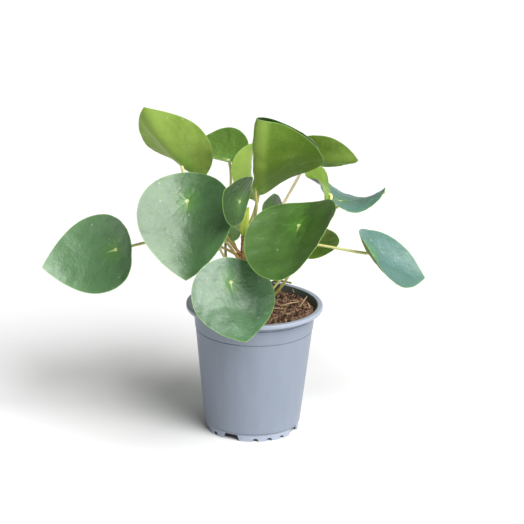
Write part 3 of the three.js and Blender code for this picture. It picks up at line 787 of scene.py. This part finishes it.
def step_groove(step):
    """The corners of a step in the wall, with the fine parting groove under it."""
    height, radius = step
    low = radius - STEP_DEPTH
    floor = low - GROOVE_DEPTH
    foot = height - STEP_SLOPE
    return [
        (low, foot - GROOVE_WIDTH, 0.06), (floor, foot - GROOVE_WIDTH * 0.8, 0.06), (floor, foot, 0.06),
        (radius, height, 0.12),
    ]


def foot_notch(angle):
    """How high the foot ring is cut away: in each quarter a wide gap with slanting ends and three round notches."""
    gap, gap_height = WIDE_GAP
    notch, notch_height = NOTCH
    degrees = (np.degrees(angle) + 90 - FOOT_START) % 90
    cut = gap_height * np.clip(np.minimum(degrees, gap - degrees) / GAP_SLANT, 0, 1)
    start = gap
    for tooth in TEETH:
        start += tooth
        off = (degrees - start - notch / 2) / (notch / 2)
        cut = np.maximum(cut, notch_height * np.clip(1 - off ** 2, 0, None) ** NOTCH_ROUNDNESS)
        start += notch
    return cut


def make_pot(outside, inside):
    """A lathed shell whose foot ring is lifted by foot_notch: z' = cut + z * (1 - cut / floor height)."""
    inner_foot = FOOT_RADIUS - FOOT_WALL
    lip_under = POT_HEIGHT - LIP_DEPTH
    floor = FLOOR_HEIGHT + WALL
    outer = rounded([
        (DISH_RADIUS, 0, 0), (DISH_RADIUS + DISH_SLOPE, FLOOR_HEIGHT, 0.8), (inner_foot, FLOOR_HEIGHT, 0.3),
        (inner_foot, 0, 0.25), (FOOT_RADIUS, 0, 0.25), (FOOT_RADIUS, FLOOR_HEIGHT, 0.25),
        (WALL_FOOT_RADIUS, FLOOR_HEIGHT, 0.5),
        *step_groove(LOWER_STEP), *step_groove(UPPER_STEP),
        (WALL_TOP_RADIUS, lip_under, 0.3), (LIP_RADIUS - 0.2, lip_under, 0.9),
        (LIP_RADIUS, POT_HEIGHT, 1.7), (LIP_MOUTH_RADIUS, POT_HEIGHT, 0.9),
        (WALL_TOP_RADIUS - WALL, lip_under - WALL, 0),
    ], 6)
    inner = rounded([
        (WALL_TOP_RADIUS - WALL, lip_under - WALL, 0), (LOWER_STEP[1] - STEP_DEPTH - WALL, LOWER_STEP[0], 0.8),
        (WALL_FOOT_RADIUS - WALL, floor, 1.5), (DISH_RADIUS + DISH_SLOPE - WALL, floor, 0.8),
        (DISH_RADIUS - WALL, WALL, 0),
    ], 5)[1:]
    profile = np.vstack([outer, inner])
    sides = 720
    angle = around(sides)
    r = np.repeat(profile[:, :1], sides, 1)
    z = np.repeat(profile[:, 1:], sides, 1)
    cut = foot_notch(angle)
    foot = (r > inner_foot - 0.01) & (r < FOOT_RADIUS + 0.01) & (z < FLOOR_HEIGHT)
    z = np.where(foot, cut + z * (1 - cut / FLOOR_HEIGHT), z)
    points = np.stack([r * np.cos(angle), r * np.sin(angle), z], -1).reshape(-1, 3)
    points = np.vstack([points, [0, 0, 0], [0, 0, WALL]])
    faces = shell_faces(len(profile), sides)
    dark = np.arange(len(profile) - 1) >= len(outer) - 3
    slots = np.concatenate([np.repeat(dark, sides), np.zeros(sides), np.ones(sides)]).astype(int)
    pot = make_object("pot_shell", points, faces, [outside, inside], slots, sharp=POT_SHARP)
    drill_floor(pot)
    return pot


def drill_floor(pot):
    """Cuts the ring of round drain holes through the floor."""
    sides = 40
    angle = around(sides)
    points, faces = [], []
    for hole in range(DRAIN_HOLES):
        bearing = hole * TURN / DRAIN_HOLES - math.pi / 2
        centre = np.array([DRAIN_CIRCLE_RADIUS * math.cos(bearing), DRAIN_CIRCLE_RADIUS * math.sin(bearing), 0])
        across = DRAIN_HOLE_RADIUS * np.stack([np.cos(angle), np.sin(angle), 0 * angle], -1)
        for height in (FLOOR_HEIGHT - WALL, FLOOR_HEIGHT + 2 * WALL):
            points.append(centre + [0, 0, height] + across)
        low = np.arange(sides) + hole * 2 * sides
        faces += ring_faces(2, sides, low[0]).tolist()
        faces += [low[::-1].tolist(), (low + sides).tolist()]
    drill = make_object("drain_drill", np.vstack(points), faces, [])
    cut = pot.modifiers.new("drain_holes", "BOOLEAN")
    cut.operation = "DIFFERENCE"
    cut.object = drill
    cut.solver = "EXACT"
    with bpy.context.temp_override(object=pot, active_object=pot):
        bpy.ops.object.modifier_apply(modifier=cut.name)
    bpy.data.objects.remove(drill)
    pot.data.polygons.foreach_set("use_smooth", np.ones(len(pot.data.polygons), bool))
    pot.data.set_sharp_from_angle(angle=math.radians(POT_SHARP))


# ---- finishes ----

SMOOTH = {"interpolation_type": "SMOOTHSTEP"}


def blank_material(name):
    """A material with a Principled shader, and the function that adds a node to its tree."""
    material = bpy.data.materials.new(name)
    material.use_nodes = True
    return material, partial(add, material.node_tree)


def finish(material, layers, sockets, bump=None):
    """Lays paints over a colour, each as colour * (1 - share) + paint * share, and fills the shader's sockets.

    The bump is its height, its strength and its depth in mm.
    """
    tree = material.node_tree
    colour = layers[0]
    for share, paint in layers[1:]:
        colour = add(tree, "Mix", {0: share, 6: colour, 7: paint}, 2, data_type="RGBA")
    sockets = {"Base Color": colour, **sockets}
    if bump:
        height, strength, depth = bump
        sockets["Normal"] = add(tree, "Bump", {"Height": height, "Strength": strength, "Distance": depth * MM})
    fill(tree.nodes["Principled BSDF"], sockets)
    return material


def vein_distance(node, u, v, r):
    """How far the nearest main vein is in mm: min over veins of | r * angle - vein * r * (1 - bend * r) |."""
    angle = node("Math", (u, v), operation="ARCTAN2")
    angle = node("Math", (angle,), operation="ABSOLUTE")
    sweep = node("Math", (r, angle), operation="MULTIPLY")
    bent = node("Math", (r, -VEIN_BEND, 1.0), operation="MULTIPLY_ADD")
    bent = node("Math", (bent, r), operation="MULTIPLY")
    nearest = None
    for vein in VEIN_ANGLES:
        off = node("Math", (bent, -vein, sweep), operation="MULTIPLY_ADD")
        off = node("Math", (off,), operation="ABSOLUTE")
        nearest = off if nearest is None else node("Math", (off, nearest), operation="MINIMUM")
    return nearest


def leaf_surface(name, looks, upper, coat, coat_roughness):
    """Pilea leaf: a smooth living cuticle over green flesh, satin, with a bluish wax coating on some leaves that is
    partly painted sheen.

    It gives a broad soft sheen, a paler glow round the joint, thin pale veins and margin, white specks, and a band of
    painted light along the midrib underneath.
    """
    material, node = blank_material(name)
    keys = ("seed", "inset", "tone", "youth", "bloom_and_sheen")
    seed, inset, tone, youth, bloom_and_sheen = (node("Attribute", out=2, attribute_name=key) for key in keys)
    # The place on the flat blade in mm, from the piece's own UV map: (uv - 0.5) * span
    uv = node("UVMap", uv_map=UV_NAME)
    place = node("VectorMath", (uv, (0.5, 0.5, 0)), operation="SUBTRACT")
    place = node("VectorMath", {0: place, "Scale": UV_SPAN}, operation="SCALE")
    # The same place moved by the leaf's own seed, so that no two leaves share a pattern
    moved = node("CombineXYZ", (seed, seed, seed))
    moved = node("VectorMath", (place, moved), operation="ADD")
    u, v = (node("SeparateXYZ", (place,), out) for out in (0, 1))
    r = node("VectorMath", (place,), 1, operation="LENGTH")
    # Cloudy patches of about 18 mm, and grain of about 2 mm
    patches = node("TexNoise", {"Vector": moved, "Scale": 1 / 18, "Detail": 3.0})
    grain = node("TexNoise", {"Vector": moved, "Scale": 1 / 2.2, "Detail": 2.0})
    cloud = node("MapRange", (patches, 0.3, 0.7, -0.3, 0.3))
    cloud = node("Math", (cloud, tone), operation="ADD", use_clamp=True)
    if upper:
        # The bluish wax coating in cloudy patches, made stronger on some leaves to paint their sheen
        film_and_sheen = node("MapRange", (patches, 0.2, 0.8, 0.7, 1.15))
        film_and_sheen = node("Math", (film_and_sheen, bloom_and_sheen), operation="MULTIPLY", use_clamp=True)
        layers = [looks.deep_green, (cloud, looks.mid_green), (youth, looks.young_green), (film_and_sheen, looks.bloom_and_sheen)]
    else:
        layers = [looks.under_green, (cloud, looks.under_pale_and_lit), (youth, looks.under_young)]
    # Fine net of small veins with cells of about 5 mm
    net = node("TexVoronoi", {"Vector": moved, "Scale": 1 / 5}, feature="DISTANCE_TO_EDGE")
    net = node("MapRange", (net, 0.0, 0.10, 1.0, 0.0), **SMOOTH)
    thin = node("Math", (net, 0.03 if upper else 0.08), operation="MULTIPLY")
    layers.append((thin, looks.vein))
    # Main veins about 1 mm wide, which fade out 22 mm from the joint
    vein = node("MapRange", (vein_distance(node, u, v, r), 0.1, 0.7, 1.0, 0.0), **SMOOTH)
    fade = node("MapRange", (r, 2.0, 22.0, 0.12, 0.0 if upper else 0.10))
    vein = node("Math", (vein, fade), operation="MULTIPLY")
    layers.append((vein, looks.vein))
    side = node("Math", (u,), operation="ABSOLUTE")
    if not upper:
        # Painted light: a paler band along the midrib of the underside
        layers.append((node("MapRange", (side, 4.0, 13.0, 0.75, 0.0), **SMOOTH), looks.under_pale_and_lit))
    # The glow round the joint, the bright joint itself and its short tail towards the point
    glow = node("MapRange", (r, 1.0, 17.0, 0.42, 0.0), **SMOOTH)
    layers.append((glow, looks.glow))
    dot = node("MapRange", (r, 1.1, 2.1, 1.0, 0.0), **SMOOTH)
    side = node("MapRange", (side, 0.3, 1.0, 1.0, 0.0), **SMOOTH)
    reach = node("MapRange", (v, 1.0, 9.0, 0.8, 0.0))
    ahead = node("Math", (v, 0.0), operation="GREATER_THAN")
    tail = node("Math", (side, reach), operation="MULTIPLY")
    tail = node("Math", (tail, ahead), operation="MULTIPLY")
    dot = node("Math", (dot, tail), operation="MAXIMUM")
    margin = node("MapRange", (inset, 0.1, 0.9, 0.6, 0.0), **SMOOTH)
    layers += [(dot, looks.joint), (margin, looks.margin)]
    # White mineral specks of about 0.6 mm, in one cell of six, cells 3.6 mm apart
    near, pick = (node("TexVoronoi", {"Vector": moved, "Scale": 1 / 3.6}, out) for out in (0, 1))
    pick = node("SeparateColor", (pick,))
    pick = node("Math", (pick, 0.84), operation="GREATER_THAN")
    speck = node("MapRange", (near, 0.03, 0.12, 0.8, 0.0), **SMOOTH)
    speck = node("Math", (speck, pick), operation="MULTIPLY")
    # Faint pale smudges of about 2 mm, where drops have dried, in cells of about 14 mm
    smudge = node("TexVoronoi", {"Vector": moved, "Scale": 1 / 14})
    smudge = node("MapRange", (smudge, 0.02, 0.12, 0.22, 0.0), **SMOOTH)
    layers += [(speck, looks.speck), (smudge, looks.speck)]
    # Wrinkles run across the blade, about 2.5 mm wide and 9 mm long
    across = node("Mapping", {"Vector": moved, "Scale": (1 / 9, 1 / 2.5, 1 / 9)})
    wrinkle = node("TexNoise", {"Vector": across, "Scale": 1.0, "Detail": 3.0, "Distortion": 0.8})
    height = node("Math", (net, -0.25, grain), operation="MULTIPLY_ADD")
    height = node("Math", (wrinkle, 2.6, height), operation="MULTIPLY_ADD")
    # Shallow crinkles of about 6 mm with finer ones on them, which break up the sheen
    crinkle = node("TexNoise", {"Vector": moved, "Scale": 1 / 6, "Detail": 5.0, "Roughness": 0.62})
    height = node("Math", (crinkle, 9.0 if upper else 4.0, height), operation="MULTIPLY_ADD")
    smooth, rough = (0.34, 0.46) if upper else (0.50, 0.62)
    sockets = {
        "Roughness": node("MapRange", (grain, 0.3, 0.7, smooth, rough)), "IOR": 1.45,
        "Specular IOR Level": 0.5 if upper else 0.25, "Coat Weight": coat, "Coat Roughness": coat_roughness,
        "Subsurface Weight": 0.35, "Subsurface Radius": (1.0, 1.5, 0.3), "Subsurface Scale": MM,
    }
    return finish(material, layers, sockets, (height, 0.5, 0.25))


def stalk_surface(looks):
    """Leaf stalk: smooth fleshy skin, tan at the root, olive along the middle and pale at the blade."""
    material, node = blank_material("pilea_stalk")
    share, blush = (node("Attribute", out=2, attribute_name=key) for key in ("share", "blush"))
    place = node("TexCoord", out=3)
    # Flecks of about 1.5 mm
    fleck = node("TexNoise", {"Vector": place, "Scale": 1 / (1.5 * MM), "Detail": 2.0})
    fleck = node("MapRange", (fleck, 0.45, 0.75, 0.0, 0.28))
    layers = [
        looks.root,
        (node("MapRange", (share, 0.02, 0.30), **SMOOTH), looks.middle),
        (node("MapRange", (share, 0.45, 0.98), **SMOOTH), looks.tip),
        # Peach blush, made paler than the stalk's own colour as painted light shining through it
        (node("MapRange", (blush, 0.0, 1.0, 0.0, 0.95)), looks.lit_peach),
        (node("MapRange", (blush, 0.0, -1.0, 0.0, 0.8)), looks.fleck),
        (fleck, looks.fleck),
    ]
    sockets = {
        "Roughness": 0.42, "Subsurface Weight": 0.25, "Subsurface Radius": (1.2, 0.9, 0.3), "Subsurface Scale": MM,
    }
    return finish(material, layers, sockets, (fleck, 0.3, 0.15))


def bark_surface(looks):
    """Stem bark: corky dry skin, matt, in browns with dark cracks, and pale and greenish in its top 30 mm."""
    material, node = blank_material("stem_bark")
    place = node("TexCoord", out=3)
    height = node("SeparateXYZ", (place,), 2)
    # Patches of about 4 mm and cork grain of about 0.8 mm
    patch = node("TexNoise", {"Vector": place, "Scale": 1 / (4 * MM), "Detail": 4.0})
    grain = node("TexNoise", {"Vector": place, "Scale": 1 / (0.8 * MM), "Detail": 3.0})
    layers = [
        looks.bark,
        (node("MapRange", (patch, 0.35, 0.65)), looks.bark_pale),
        (node("MapRange", (height, 150 * MM, 180 * MM, 0.0, 0.75), **SMOOTH), looks.root),
        (node("MapRange", (grain, 0.30, 0.48, 0.6, 0.0)), looks.bark_dark),
    ]
    return finish(material, layers, {"Roughness": 0.85}, (grain, 0.6, 0.4))


def scale_surface(looks):
    """Dry leaf scales: papery and thin, matt, red-brown with paler fibres of about 0.7 mm."""
    material, node = blank_material("dry_papery_scale")
    place = node("TexCoord", out=3)
    streak = node("TexNoise", {"Vector": place, "Scale": 1 / (0.7 * MM), "Detail": 2.0})
    return finish(material, [looks.scale, (streak, looks.bark_pale)], {"Roughness": 0.8})


def bud_surface(looks):
    """Growing tip: soft new leaf, bright yellow-green, a little glossy, with cloudy patches of about 3 mm."""
    material, node = blank_material("pilea_new_growth")
    share = node("Attribute", out=2, attribute_name="share")
    place = node("TexCoord", out=3)
    patch = node("TexNoise", {"Vector": place, "Scale": 1 / (3 * MM), "Detail": 2.0})
    patch = node("MapRange", (patch, 0.4, 0.7, 0.0, 0.5))
    sockets = {
        "Roughness": 0.4, "Subsurface Weight": 0.4, "Subsurface Radius": (1.2, 1.6, 0.3), "Subsurface Scale": MM,
    }
    return finish(material, [looks.bud_foot, (share, looks.bud), (patch, looks.bud_foot)], sockets)


def compost_surface(looks):
    """Peat compost: crumbled brown peat, quite matt, darker where damp and in the low spots of its crumbs, which is
    painted shade.
    """
    material, node = blank_material("peat_compost")
    place = node("TexCoord", out=3)
    # Patches of about 7 mm and crumbs of about 0.9 mm
    patch = node("TexNoise", {"Vector": place, "Scale": 1 / (7 * MM), "Detail": 4.0})
    crumb = node("TexNoise", {"Vector": place, "Scale": 1 / (0.9 * MM), "Detail": 5.0, "Roughness": 0.65})
    layers = [
        looks.peat,
        (node("MapRange", (patch, 0.35, 0.65)), looks.peat_pale),
        # Painted shade: the peat is darkened where the crumbs' bump is low
        (node("MapRange", (crumb, 0.38, 0.52, 0.8, 0.0)), looks.peat_dark_and_shade),
    ]
    return finish(material, layers, {"Roughness": 0.95, "Specular IOR Level": 0.2}, (crumb, 1.0, 1.0))


def crumb_surface(name, dark, middle, pale):
    """Loose bits on the compost: dry, matt, each bit with its own shade."""
    material, node = blank_material(name)
    shade = node("Attribute", out=2, attribute_name="shade")
    place = node("TexCoord", out=3)
    # Grain of about 0.6 mm
    grain = node("TexNoise", {"Vector": place, "Scale": 1 / (0.6 * MM), "Detail": 3.0})
    grain = node("MapRange", (grain, 0.35, 0.6, 0.5, 0.0))
    layers = [
        dark,
        (node("MapRange", (shade, 0.0, 0.5)), middle),
        (node("MapRange", (shade, 0.5, 1.0)), pale),
        (grain, dark),
    ]
    return finish(material, layers, {"Roughness": 0.9, "Specular IOR Level": 0.25}, (grain, 0.8, 0.3))


def pot_surface(name, looks, colour, worn, rim_foot_light, roughness):
    """Polypropylene, injection moulded: satin, with a faint cast of flow marks and a fine eggshell grain, a painted
    highlight on the rim's edge and the foot ring, and a painted shadow line above the foot ring.
    """
    material, node = blank_material(name)
    place = node("TexCoord", out=3)
    height = node("SeparateXYZ", (place,), 2)
    # Flow marks are about 9 mm wide and 50 mm tall; the eggshell grain is about 0.7 mm
    tall = node("Mapping", {"Vector": place, "Scale": (1.0, 1.0, 0.18)})
    flow = node("TexNoise", {"Vector": tall, "Scale": 1 / (9 * MM), "Detail": 3.0})
    grain = node("TexNoise", {"Vector": place, "Scale": 1 / (0.7 * MM), "Detail": 2.0})
    # Painted highlight: the rim's edge and the foot ring are made paler, as where light catches them
    rim = node("MapRange", (height, 110.5 * MM, 112.5 * MM, 0.0, rim_foot_light))
    foot = node("MapRange", (height, 5.0 * MM, FLOOR_HEIGHT * MM, rim_foot_light, 0.0))
    rim_foot_highlight = node("Math", (rim, foot), operation="MAXIMUM")
    # Painted shadow: a thin dark line in the corner above the foot ring, under the wall's ledge
    corner = node("Math", (height, (FLOOR_HEIGHT - 0.05) * MM), operation="SUBTRACT")
    corner = node("Math", (corner,), operation="ABSOLUTE")
    layers = [
        colour,
        (node("MapRange", (flow, 0.35, 0.75, 0.0, 0.55)), worn),
        (rim_foot_highlight, looks.rim_foot_highlight),
        (node("MapRange", (corner, 0.25 * MM, 0.5 * MM, 0.8, 0.0)), looks.foot_corner_shadow),
    ]
    rough = node("MapRange", (flow, 0.3, 0.7, roughness - 0.04, roughness + 0.06))
    return finish(material, layers, {"Roughness": rough, "IOR": 1.49}, (grain, 0.12, 0.15))


def paper_surface(colour):
    """Studio paper: matt and even, with fibres of about 2 mm that are too faint to see."""
    material, node = blank_material("studio_paper")
    place = node("TexCoord", out=3)
    fibre = node("TexNoise", {"Vector": place, "Scale": 1 / (2 * MM)})
    return finish(material, [colour], {"Roughness": 0.9, "Specular IOR Level": 0.1}, (fibre, 0.02, 0.1))


# ---- sizes and colours that a user may change ----


def paint(name, description, code):
    """A colour that a user may change, with its default as an sRGB hex code."""
    return FloatVectorProperty(name=name, description=description, subtype="COLOR", size=4, default=linear(code))


class PILEA_PG_leaf(bpy.types.PropertyGroup):
    """Colours of the blades."""

    deep_green: paint("Deep green", "Darker patches of the upper side", "#2c4f19")
    mid_green: paint("Mid green", "Lighter patches of the upper side", "#527a37")
    young_green: paint("Young green", "Upper side of a young leaf", "#84a83a")
    # Bluish wax coating, also laid on to paint sheen
    bloom_and_sheen: paint("Bloom and sheen", "Waxy bluish film", "#5b827b")
    under_green: paint("Under green", "Darker patches of the underside", "#56741c")
    # Also painted as light in a band along the midrib of the underside
    under_pale_and_lit: paint("Under pale and lit", "Lighter patches of the underside, and painted light along its midrib", "#86a047")
    under_young: paint("Under young", "Underside of a young leaf", "#a4bd58")
    vein: paint("Vein", "Veins", "#88a866")
    glow: paint("Glow", "Green round the joint", "#5f9a35")
    joint: paint("Joint", "Dot where the stalk meets the blade", "#d3e094")
    margin: paint("Margin", "Thin edge of the blade", "#93b36b")
    speck: paint("Speck", "White specks", "#e3eadb")


class PILEA_PG_stalk(bpy.types.PropertyGroup):
    """Colours of the stalks, the stem and the growing tip."""

    root: paint("Root", "Stalk at the stem", "#b98442")
    middle: paint("Middle", "Stalk halfway", "#a8a455")
    tip: paint("Tip", "Stalk at the blade", "#d2d58e")
    fleck: paint("Fleck", "Flecks along a stalk", "#77722f")
    # A pale tint made paler still, as painted light shining through the stalks
    lit_peach: paint("Lit peach", "Blush of some stalks", "#f6e2bd")
    withered: paint("Withered", "Old stalk without a leaf", "#3f4a17")
    bark: paint("Bark", "Stem", "#836244")
    bark_pale: paint("Pale bark", "Lighter bark and the fibres of scales", "#b8946a")
    bark_dark: paint("Dark bark", "Cracks in the bark", "#46311f")
    scale: paint("Scale", "Dry papery scales", "#7c4a2c")
    bud: paint("Bud", "Growing tip", "#c3d457")
    bud_foot: paint("Bud foot", "Foot of the growing tip", "#a3b845")


class PILEA_PG_compost(bpy.types.PropertyGroup):
    """Colours and loose bits of the compost."""

    peat: paint("Peat", "Compost", "#664b3b")
    peat_pale: paint("Pale peat", "Dry compost", "#977662")
    # Also painted as shade in the hollows of the compost
    peat_dark_and_shade: paint("Dark peat", "Damp compost, and painted shade in its hollows", "#241812")
    fibre: paint("Fibre", "Straw-coloured fibres", "#c9ab84")
    lumps: IntProperty(name="Lumps", description="Number of small lumps", default=2600, min=0)
    chips: IntProperty(name="Chips", description="Number of bark chips", default=90, min=0)
    fibres: IntProperty(name="Fibres", description="Number of fibres", default=330, min=0)
    lump_size: FloatProperty(
        name="Lump size", description="Radius of the largest lump", default=2.3 * MM, unit="LENGTH",
    )


class PILEA_PG_pot(bpy.types.PropertyGroup):
    """Colours of the pot."""

    outside: paint("Outside", "Outside of the pot", "#7f8897")
    outside_worn: paint("Outside marks", "Flow marks of the outside", "#8891a1")
    # Painted highlight on the rim's edge and the foot ring
    rim_foot_highlight: paint("Highlit", "Scuffed rim and foot", "#aab2c2")
    # A painted shadow line in the corner above the foot ring, under the wall's ledge
    foot_corner_shadow: paint("Corner shadow", "Painted shadow in the corner above the foot ring", "#3d434c")
    inside: paint("Inside", "Inside of the pot", "#39423f")
    inside_worn: paint("Inside marks", "Dust inside the pot", "#4a4a42")
    roughness: FloatProperty(
        name="Roughness", description="Roughness of the moulded skin", default=0.42, min=0, max=1, subtype="FACTOR",
    )


class PILEA_PG_stage(bpy.types.PropertyGroup):
    """Floor and light."""

    floor: paint("Floor", "Studio paper", "#f4f4f4")
    floor_size: FloatProperty(
        name="Floor size", description="Side of the floor", default=24.0, min=0, unit="LENGTH",
    )
    key_angle: FloatProperty(
        name="Key angle", description="How wide the soft key light looks from the plant",
        default=math.radians(44), min=0, max=math.pi, unit="ROTATION",
    )
    key_power: FloatProperty(name="Key power", description="Strength of the soft key light", default=4.2, min=0)
    sky_left: FloatProperty(
        name="Left surroundings", description="Strength of the white surroundings at the left", default=0.03, min=0,
    )
    sky_right: FloatProperty(
        name="Right surroundings", description="Strength of the white surroundings at the right", default=0.60, min=0,
    )


# ---- light and camera ----

KEY_PLACE = Vector((0.91, -1.08, 1.42))


def set_light(looks):
    """A wide soft key light from the right, in front and above, and white surroundings that darken to the left."""
    lamp = bpy.data.lights.new("key_softbox", "SUN")
    lamp.angle = looks.key_angle
    lamp.energy = looks.key_power
    key = bpy.data.objects.new("key_softbox", lamp)
    key.location = KEY_PLACE
    key.rotation_euler = (-KEY_PLACE).to_track_quat("-Z", "Y").to_euler()
    bpy.context.scene.collection.objects.link(key)
    world = bpy.data.worlds.new("white_surroundings")
    world.use_nodes = True
    tree = world.node_tree
    heading = add(tree, "TexCoord")
    side = add(tree, "SeparateXYZ", (heading,))
    strength = add(tree, "MapRange", (side, -1.0, 1.0, looks.sky_left, looks.sky_right))
    fill(tree.nodes["Background"], {"Color": (1, 1, 1, 1), "Strength": strength})
    bpy.context.scene.world = world


# The camera of the photograph: how far it stands from the rim's middle, how it is turned, and its picture
CAMERA_DISTANCE = 2200.0
CAMERA_PITCH = math.radians(18.9)
CAMERA_ROLL = math.radians(1.3)
FOCAL_PIXELS = 2511.0
PICTURE_PIXELS = 524
RIM_PIXEL = (254.6, 302.5)
SENSOR = 36.0


def set_camera():
    """Looks down by the pitch, rolled a little, so that the middle of the pot's rim falls on its pixel."""
    level = np.array([1.0, 0, 0])
    steep = np.array([0, math.sin(CAMERA_PITCH), math.cos(CAMERA_PITCH)])
    forward = np.array([0, math.cos(CAMERA_PITCH), -math.sin(CAMERA_PITCH)])
    right = level * math.cos(CAMERA_ROLL) + steep * math.sin(CAMERA_ROLL)
    up = steep * math.cos(CAMERA_ROLL) - level * math.sin(CAMERA_ROLL)
    half = PICTURE_PIXELS / 2
    off_x = (RIM_PIXEL[0] - half) * CAMERA_DISTANCE / FOCAL_PIXELS
    off_y = (half - RIM_PIXEL[1]) * CAMERA_DISTANCE / FOCAL_PIXELS
    place = np.array([0, 0, POT_HEIGHT]) - off_x * right - off_y * up - CAMERA_DISTANCE * forward
    lens = bpy.data.cameras.new("photo_camera")
    lens.sensor_fit = "HORIZONTAL"
    lens.sensor_width = SENSOR
    lens.lens = FOCAL_PIXELS / PICTURE_PIXELS * SENSOR
    lens.clip_start = 0.05
    lens.clip_end = 100
    camera = bpy.data.objects.new("photo_camera", lens)
    turn = Matrix((right, up, -forward)).transposed().to_4x4()
    camera.matrix_world = Matrix.Translation(Vector(place * MM)) @ turn
    bpy.context.scene.collection.objects.link(camera)
    bpy.context.scene.camera = camera
    bpy.context.scene.view_settings.view_transform = "Standard"


# ---- operators ----


class PILEA_OT_pot(bpy.types.Operator):
    """Moulded pot in place of its plain solid"""

    bl_idname = "pilea.pot"
    bl_label = "Pot"

    def execute(self, context):
        looks = context.scene.pilea_pot
        outside = pot_surface(
            "moulded_polypropylene_outside", looks, looks.outside, looks.outside_worn,
            rim_foot_light=0.6, roughness=looks.roughness,
        )
        inside = pot_surface(
            "moulded_polypropylene_inside", looks, looks.inside, looks.inside_worn,
            rim_foot_light=0.0, roughness=looks.roughness + 0.1,
        )
        put(make_pot(outside, inside), slot_of("pot"), "pot")
        return {"FINISHED"}


class PILEA_OT_compost(bpy.types.Operator):
    """Compost with lumps, bark chips and fibres"""

    bl_idname = "pilea.compost"
    bl_label = "Compost"

    def execute(self, context):
        looks = context.scene.pilea_compost
        slot = slot_of("soil")
        lumps = crumb_surface("peat_crumbs", looks.peat_dark_and_shade, looks.peat, looks.peat_pale)
        chips = crumb_surface("bark_chips", looks.peat, looks.peat_pale, looks.fibre)
        fibres = crumb_surface("coir_fibres", looks.peat_pale, looks.fibre, looks.fibre)
        largest = looks.lump_size / MM
        put(make_compost(compost_surface(looks)), slot, "soil")
        put(scatter_lumps("compost_lumps", looks.lumps, SMALLEST_LUMP, largest, 0.7, 41, lumps), slot)
        put(scatter_lumps("compost_chips", looks.chips, SMALLEST_CHIP, largest * 1.2, 0.3, 43, chips), slot)
        put(make_fibres(fibres, looks.fibres), slot)
        return {"FINISHED"}


class PILEA_OT_stem(bpy.types.Operator):
    """Stem with its bark, dry scales and growing tip"""

    bl_idname = "pilea.stem"
    bl_label = "Stem"

    def execute(self, context):
        looks = context.scene.pilea_stalk
        slot = slot_of("main_stem")
        put(make_stem(bark_surface(looks)), slot, "main_stem")
        put(make_scales(scale_surface(looks)), slot)
        put(make_bud(bud_surface(looks)), slot)
        withered = crumb_surface("withered_stalk", looks.withered, looks.withered, looks.fleck)
        put(make_old_stalk(withered), slot_of("leaf_01_stalk"))
        return {"FINISHED"}


class PILEA_OT_stalks(bpy.types.Operator):
    """Leaf stalks from the stem to the blades"""

    bl_idname = "pilea.stalks"
    bl_label = "Stalks"

    def execute(self, context):
        skin = stalk_surface(context.scene.pilea_stalk)
        for number, name in enumerate(LEAF_ROWS):
            node = f"{name}_stalk"
            put(make_stalk(name, number, [skin]), slot_of(node), node)
        return {"FINISHED"}


class PILEA_OT_blades(bpy.types.Operator):
    """Round leaf blades"""

    bl_idname = "pilea.blades"
    bl_label = "Blades"

    def execute(self, context):
        looks = context.scene.pilea_leaf
        upper = leaf_surface("pilea_leaf_upper", looks, upper=True, coat=1.0, coat_roughness=0.44)
        bloom_and_sheen_skin = leaf_surface("pilea_leaf_upper_with_bloom_and_sheen", looks, upper=True, coat=0.45, coat_roughness=0.55)
        under = leaf_surface("pilea_leaf_underside", looks, upper=False, coat=0.0, coat_roughness=0.5)
        for number, name in enumerate(LEAF_ROWS):
            node = f"{name}_blade"
            skin = bloom_and_sheen_skin if LEAF_LOOKS[name][LOOK_KEYS.index("bloom_and_sheen")] > DULL_COAT_LIMIT else upper
            put(make_blade(name, number, [skin, under]), slot_of(node), node)
        return {"FINISHED"}


class PILEA_OT_stage(bpy.types.Operator):
    """Pale floor, soft light and the camera"""

    bl_idname = "pilea.stage"
    bl_label = "Stage"

    def execute(self, context):
        looks = context.scene.pilea_stage
        half = looks.floor_size / MM / 2
        corners = [(-half, -half, 0), (half, -half, 0), (half, half, 0), (-half, half, 0)]
        make_object("studio_floor", corners, [(0, 1, 2, 3)], [paper_surface(looks.floor)])
        set_light(looks)
        set_camera()
        return {"FINISHED"}


class PILEA_PT_panel(bpy.types.Panel):
    """Buttons for each group of pieces"""

    bl_label = "Potted Pilea"
    bl_idname = "PILEA_PT_panel"
    bl_space_type = "VIEW_3D"
    bl_region_type = "UI"
    bl_category = "Pilea"

    def draw(self, context):
        scene = context.scene
        for operator, group in STEPS:
            self.layout.operator(operator.bl_idname)
            if group:
                for key in getattr(scene, group).__annotations__:
                    self.layout.prop(getattr(scene, group), key)


# Each operator with the group of settings that it reads
STEPS = (
    (PILEA_OT_pot, "pilea_pot"), (PILEA_OT_compost, "pilea_compost"), (PILEA_OT_stem, "pilea_stalk"),
    (PILEA_OT_stalks, ""), (PILEA_OT_blades, "pilea_leaf"), (PILEA_OT_stage, "pilea_stage"),
)
GROUPS = {
    "pilea_pot": PILEA_PG_pot, "pilea_compost": PILEA_PG_compost, "pilea_stalk": PILEA_PG_stalk,
    "pilea_leaf": PILEA_PG_leaf, "pilea_stage": PILEA_PG_stage,
}


def register():
    for name, group in GROUPS.items():
        bpy.utils.register_class(group)
        setattr(bpy.types.Scene, name, PointerProperty(type=group))
    for operator, _ in STEPS:
        bpy.utils.register_class(operator)
    bpy.utils.register_class(PILEA_PT_panel)


def unregister():
    bpy.utils.unregister_class(PILEA_PT_panel)
    for operator, _ in reversed(STEPS):
        bpy.utils.unregister_class(operator)
    for name, group in reversed(GROUPS.items()):
        delattr(bpy.types.Scene, name)
        bpy.utils.unregister_class(group)


def main():
    """Builds every piece."""
    register()
    for operator, _ in STEPS:
        group, call = operator.bl_idname.split(".")
        getattr(getattr(bpy.ops, group), call)()


if __name__ == "__main__":
    main()
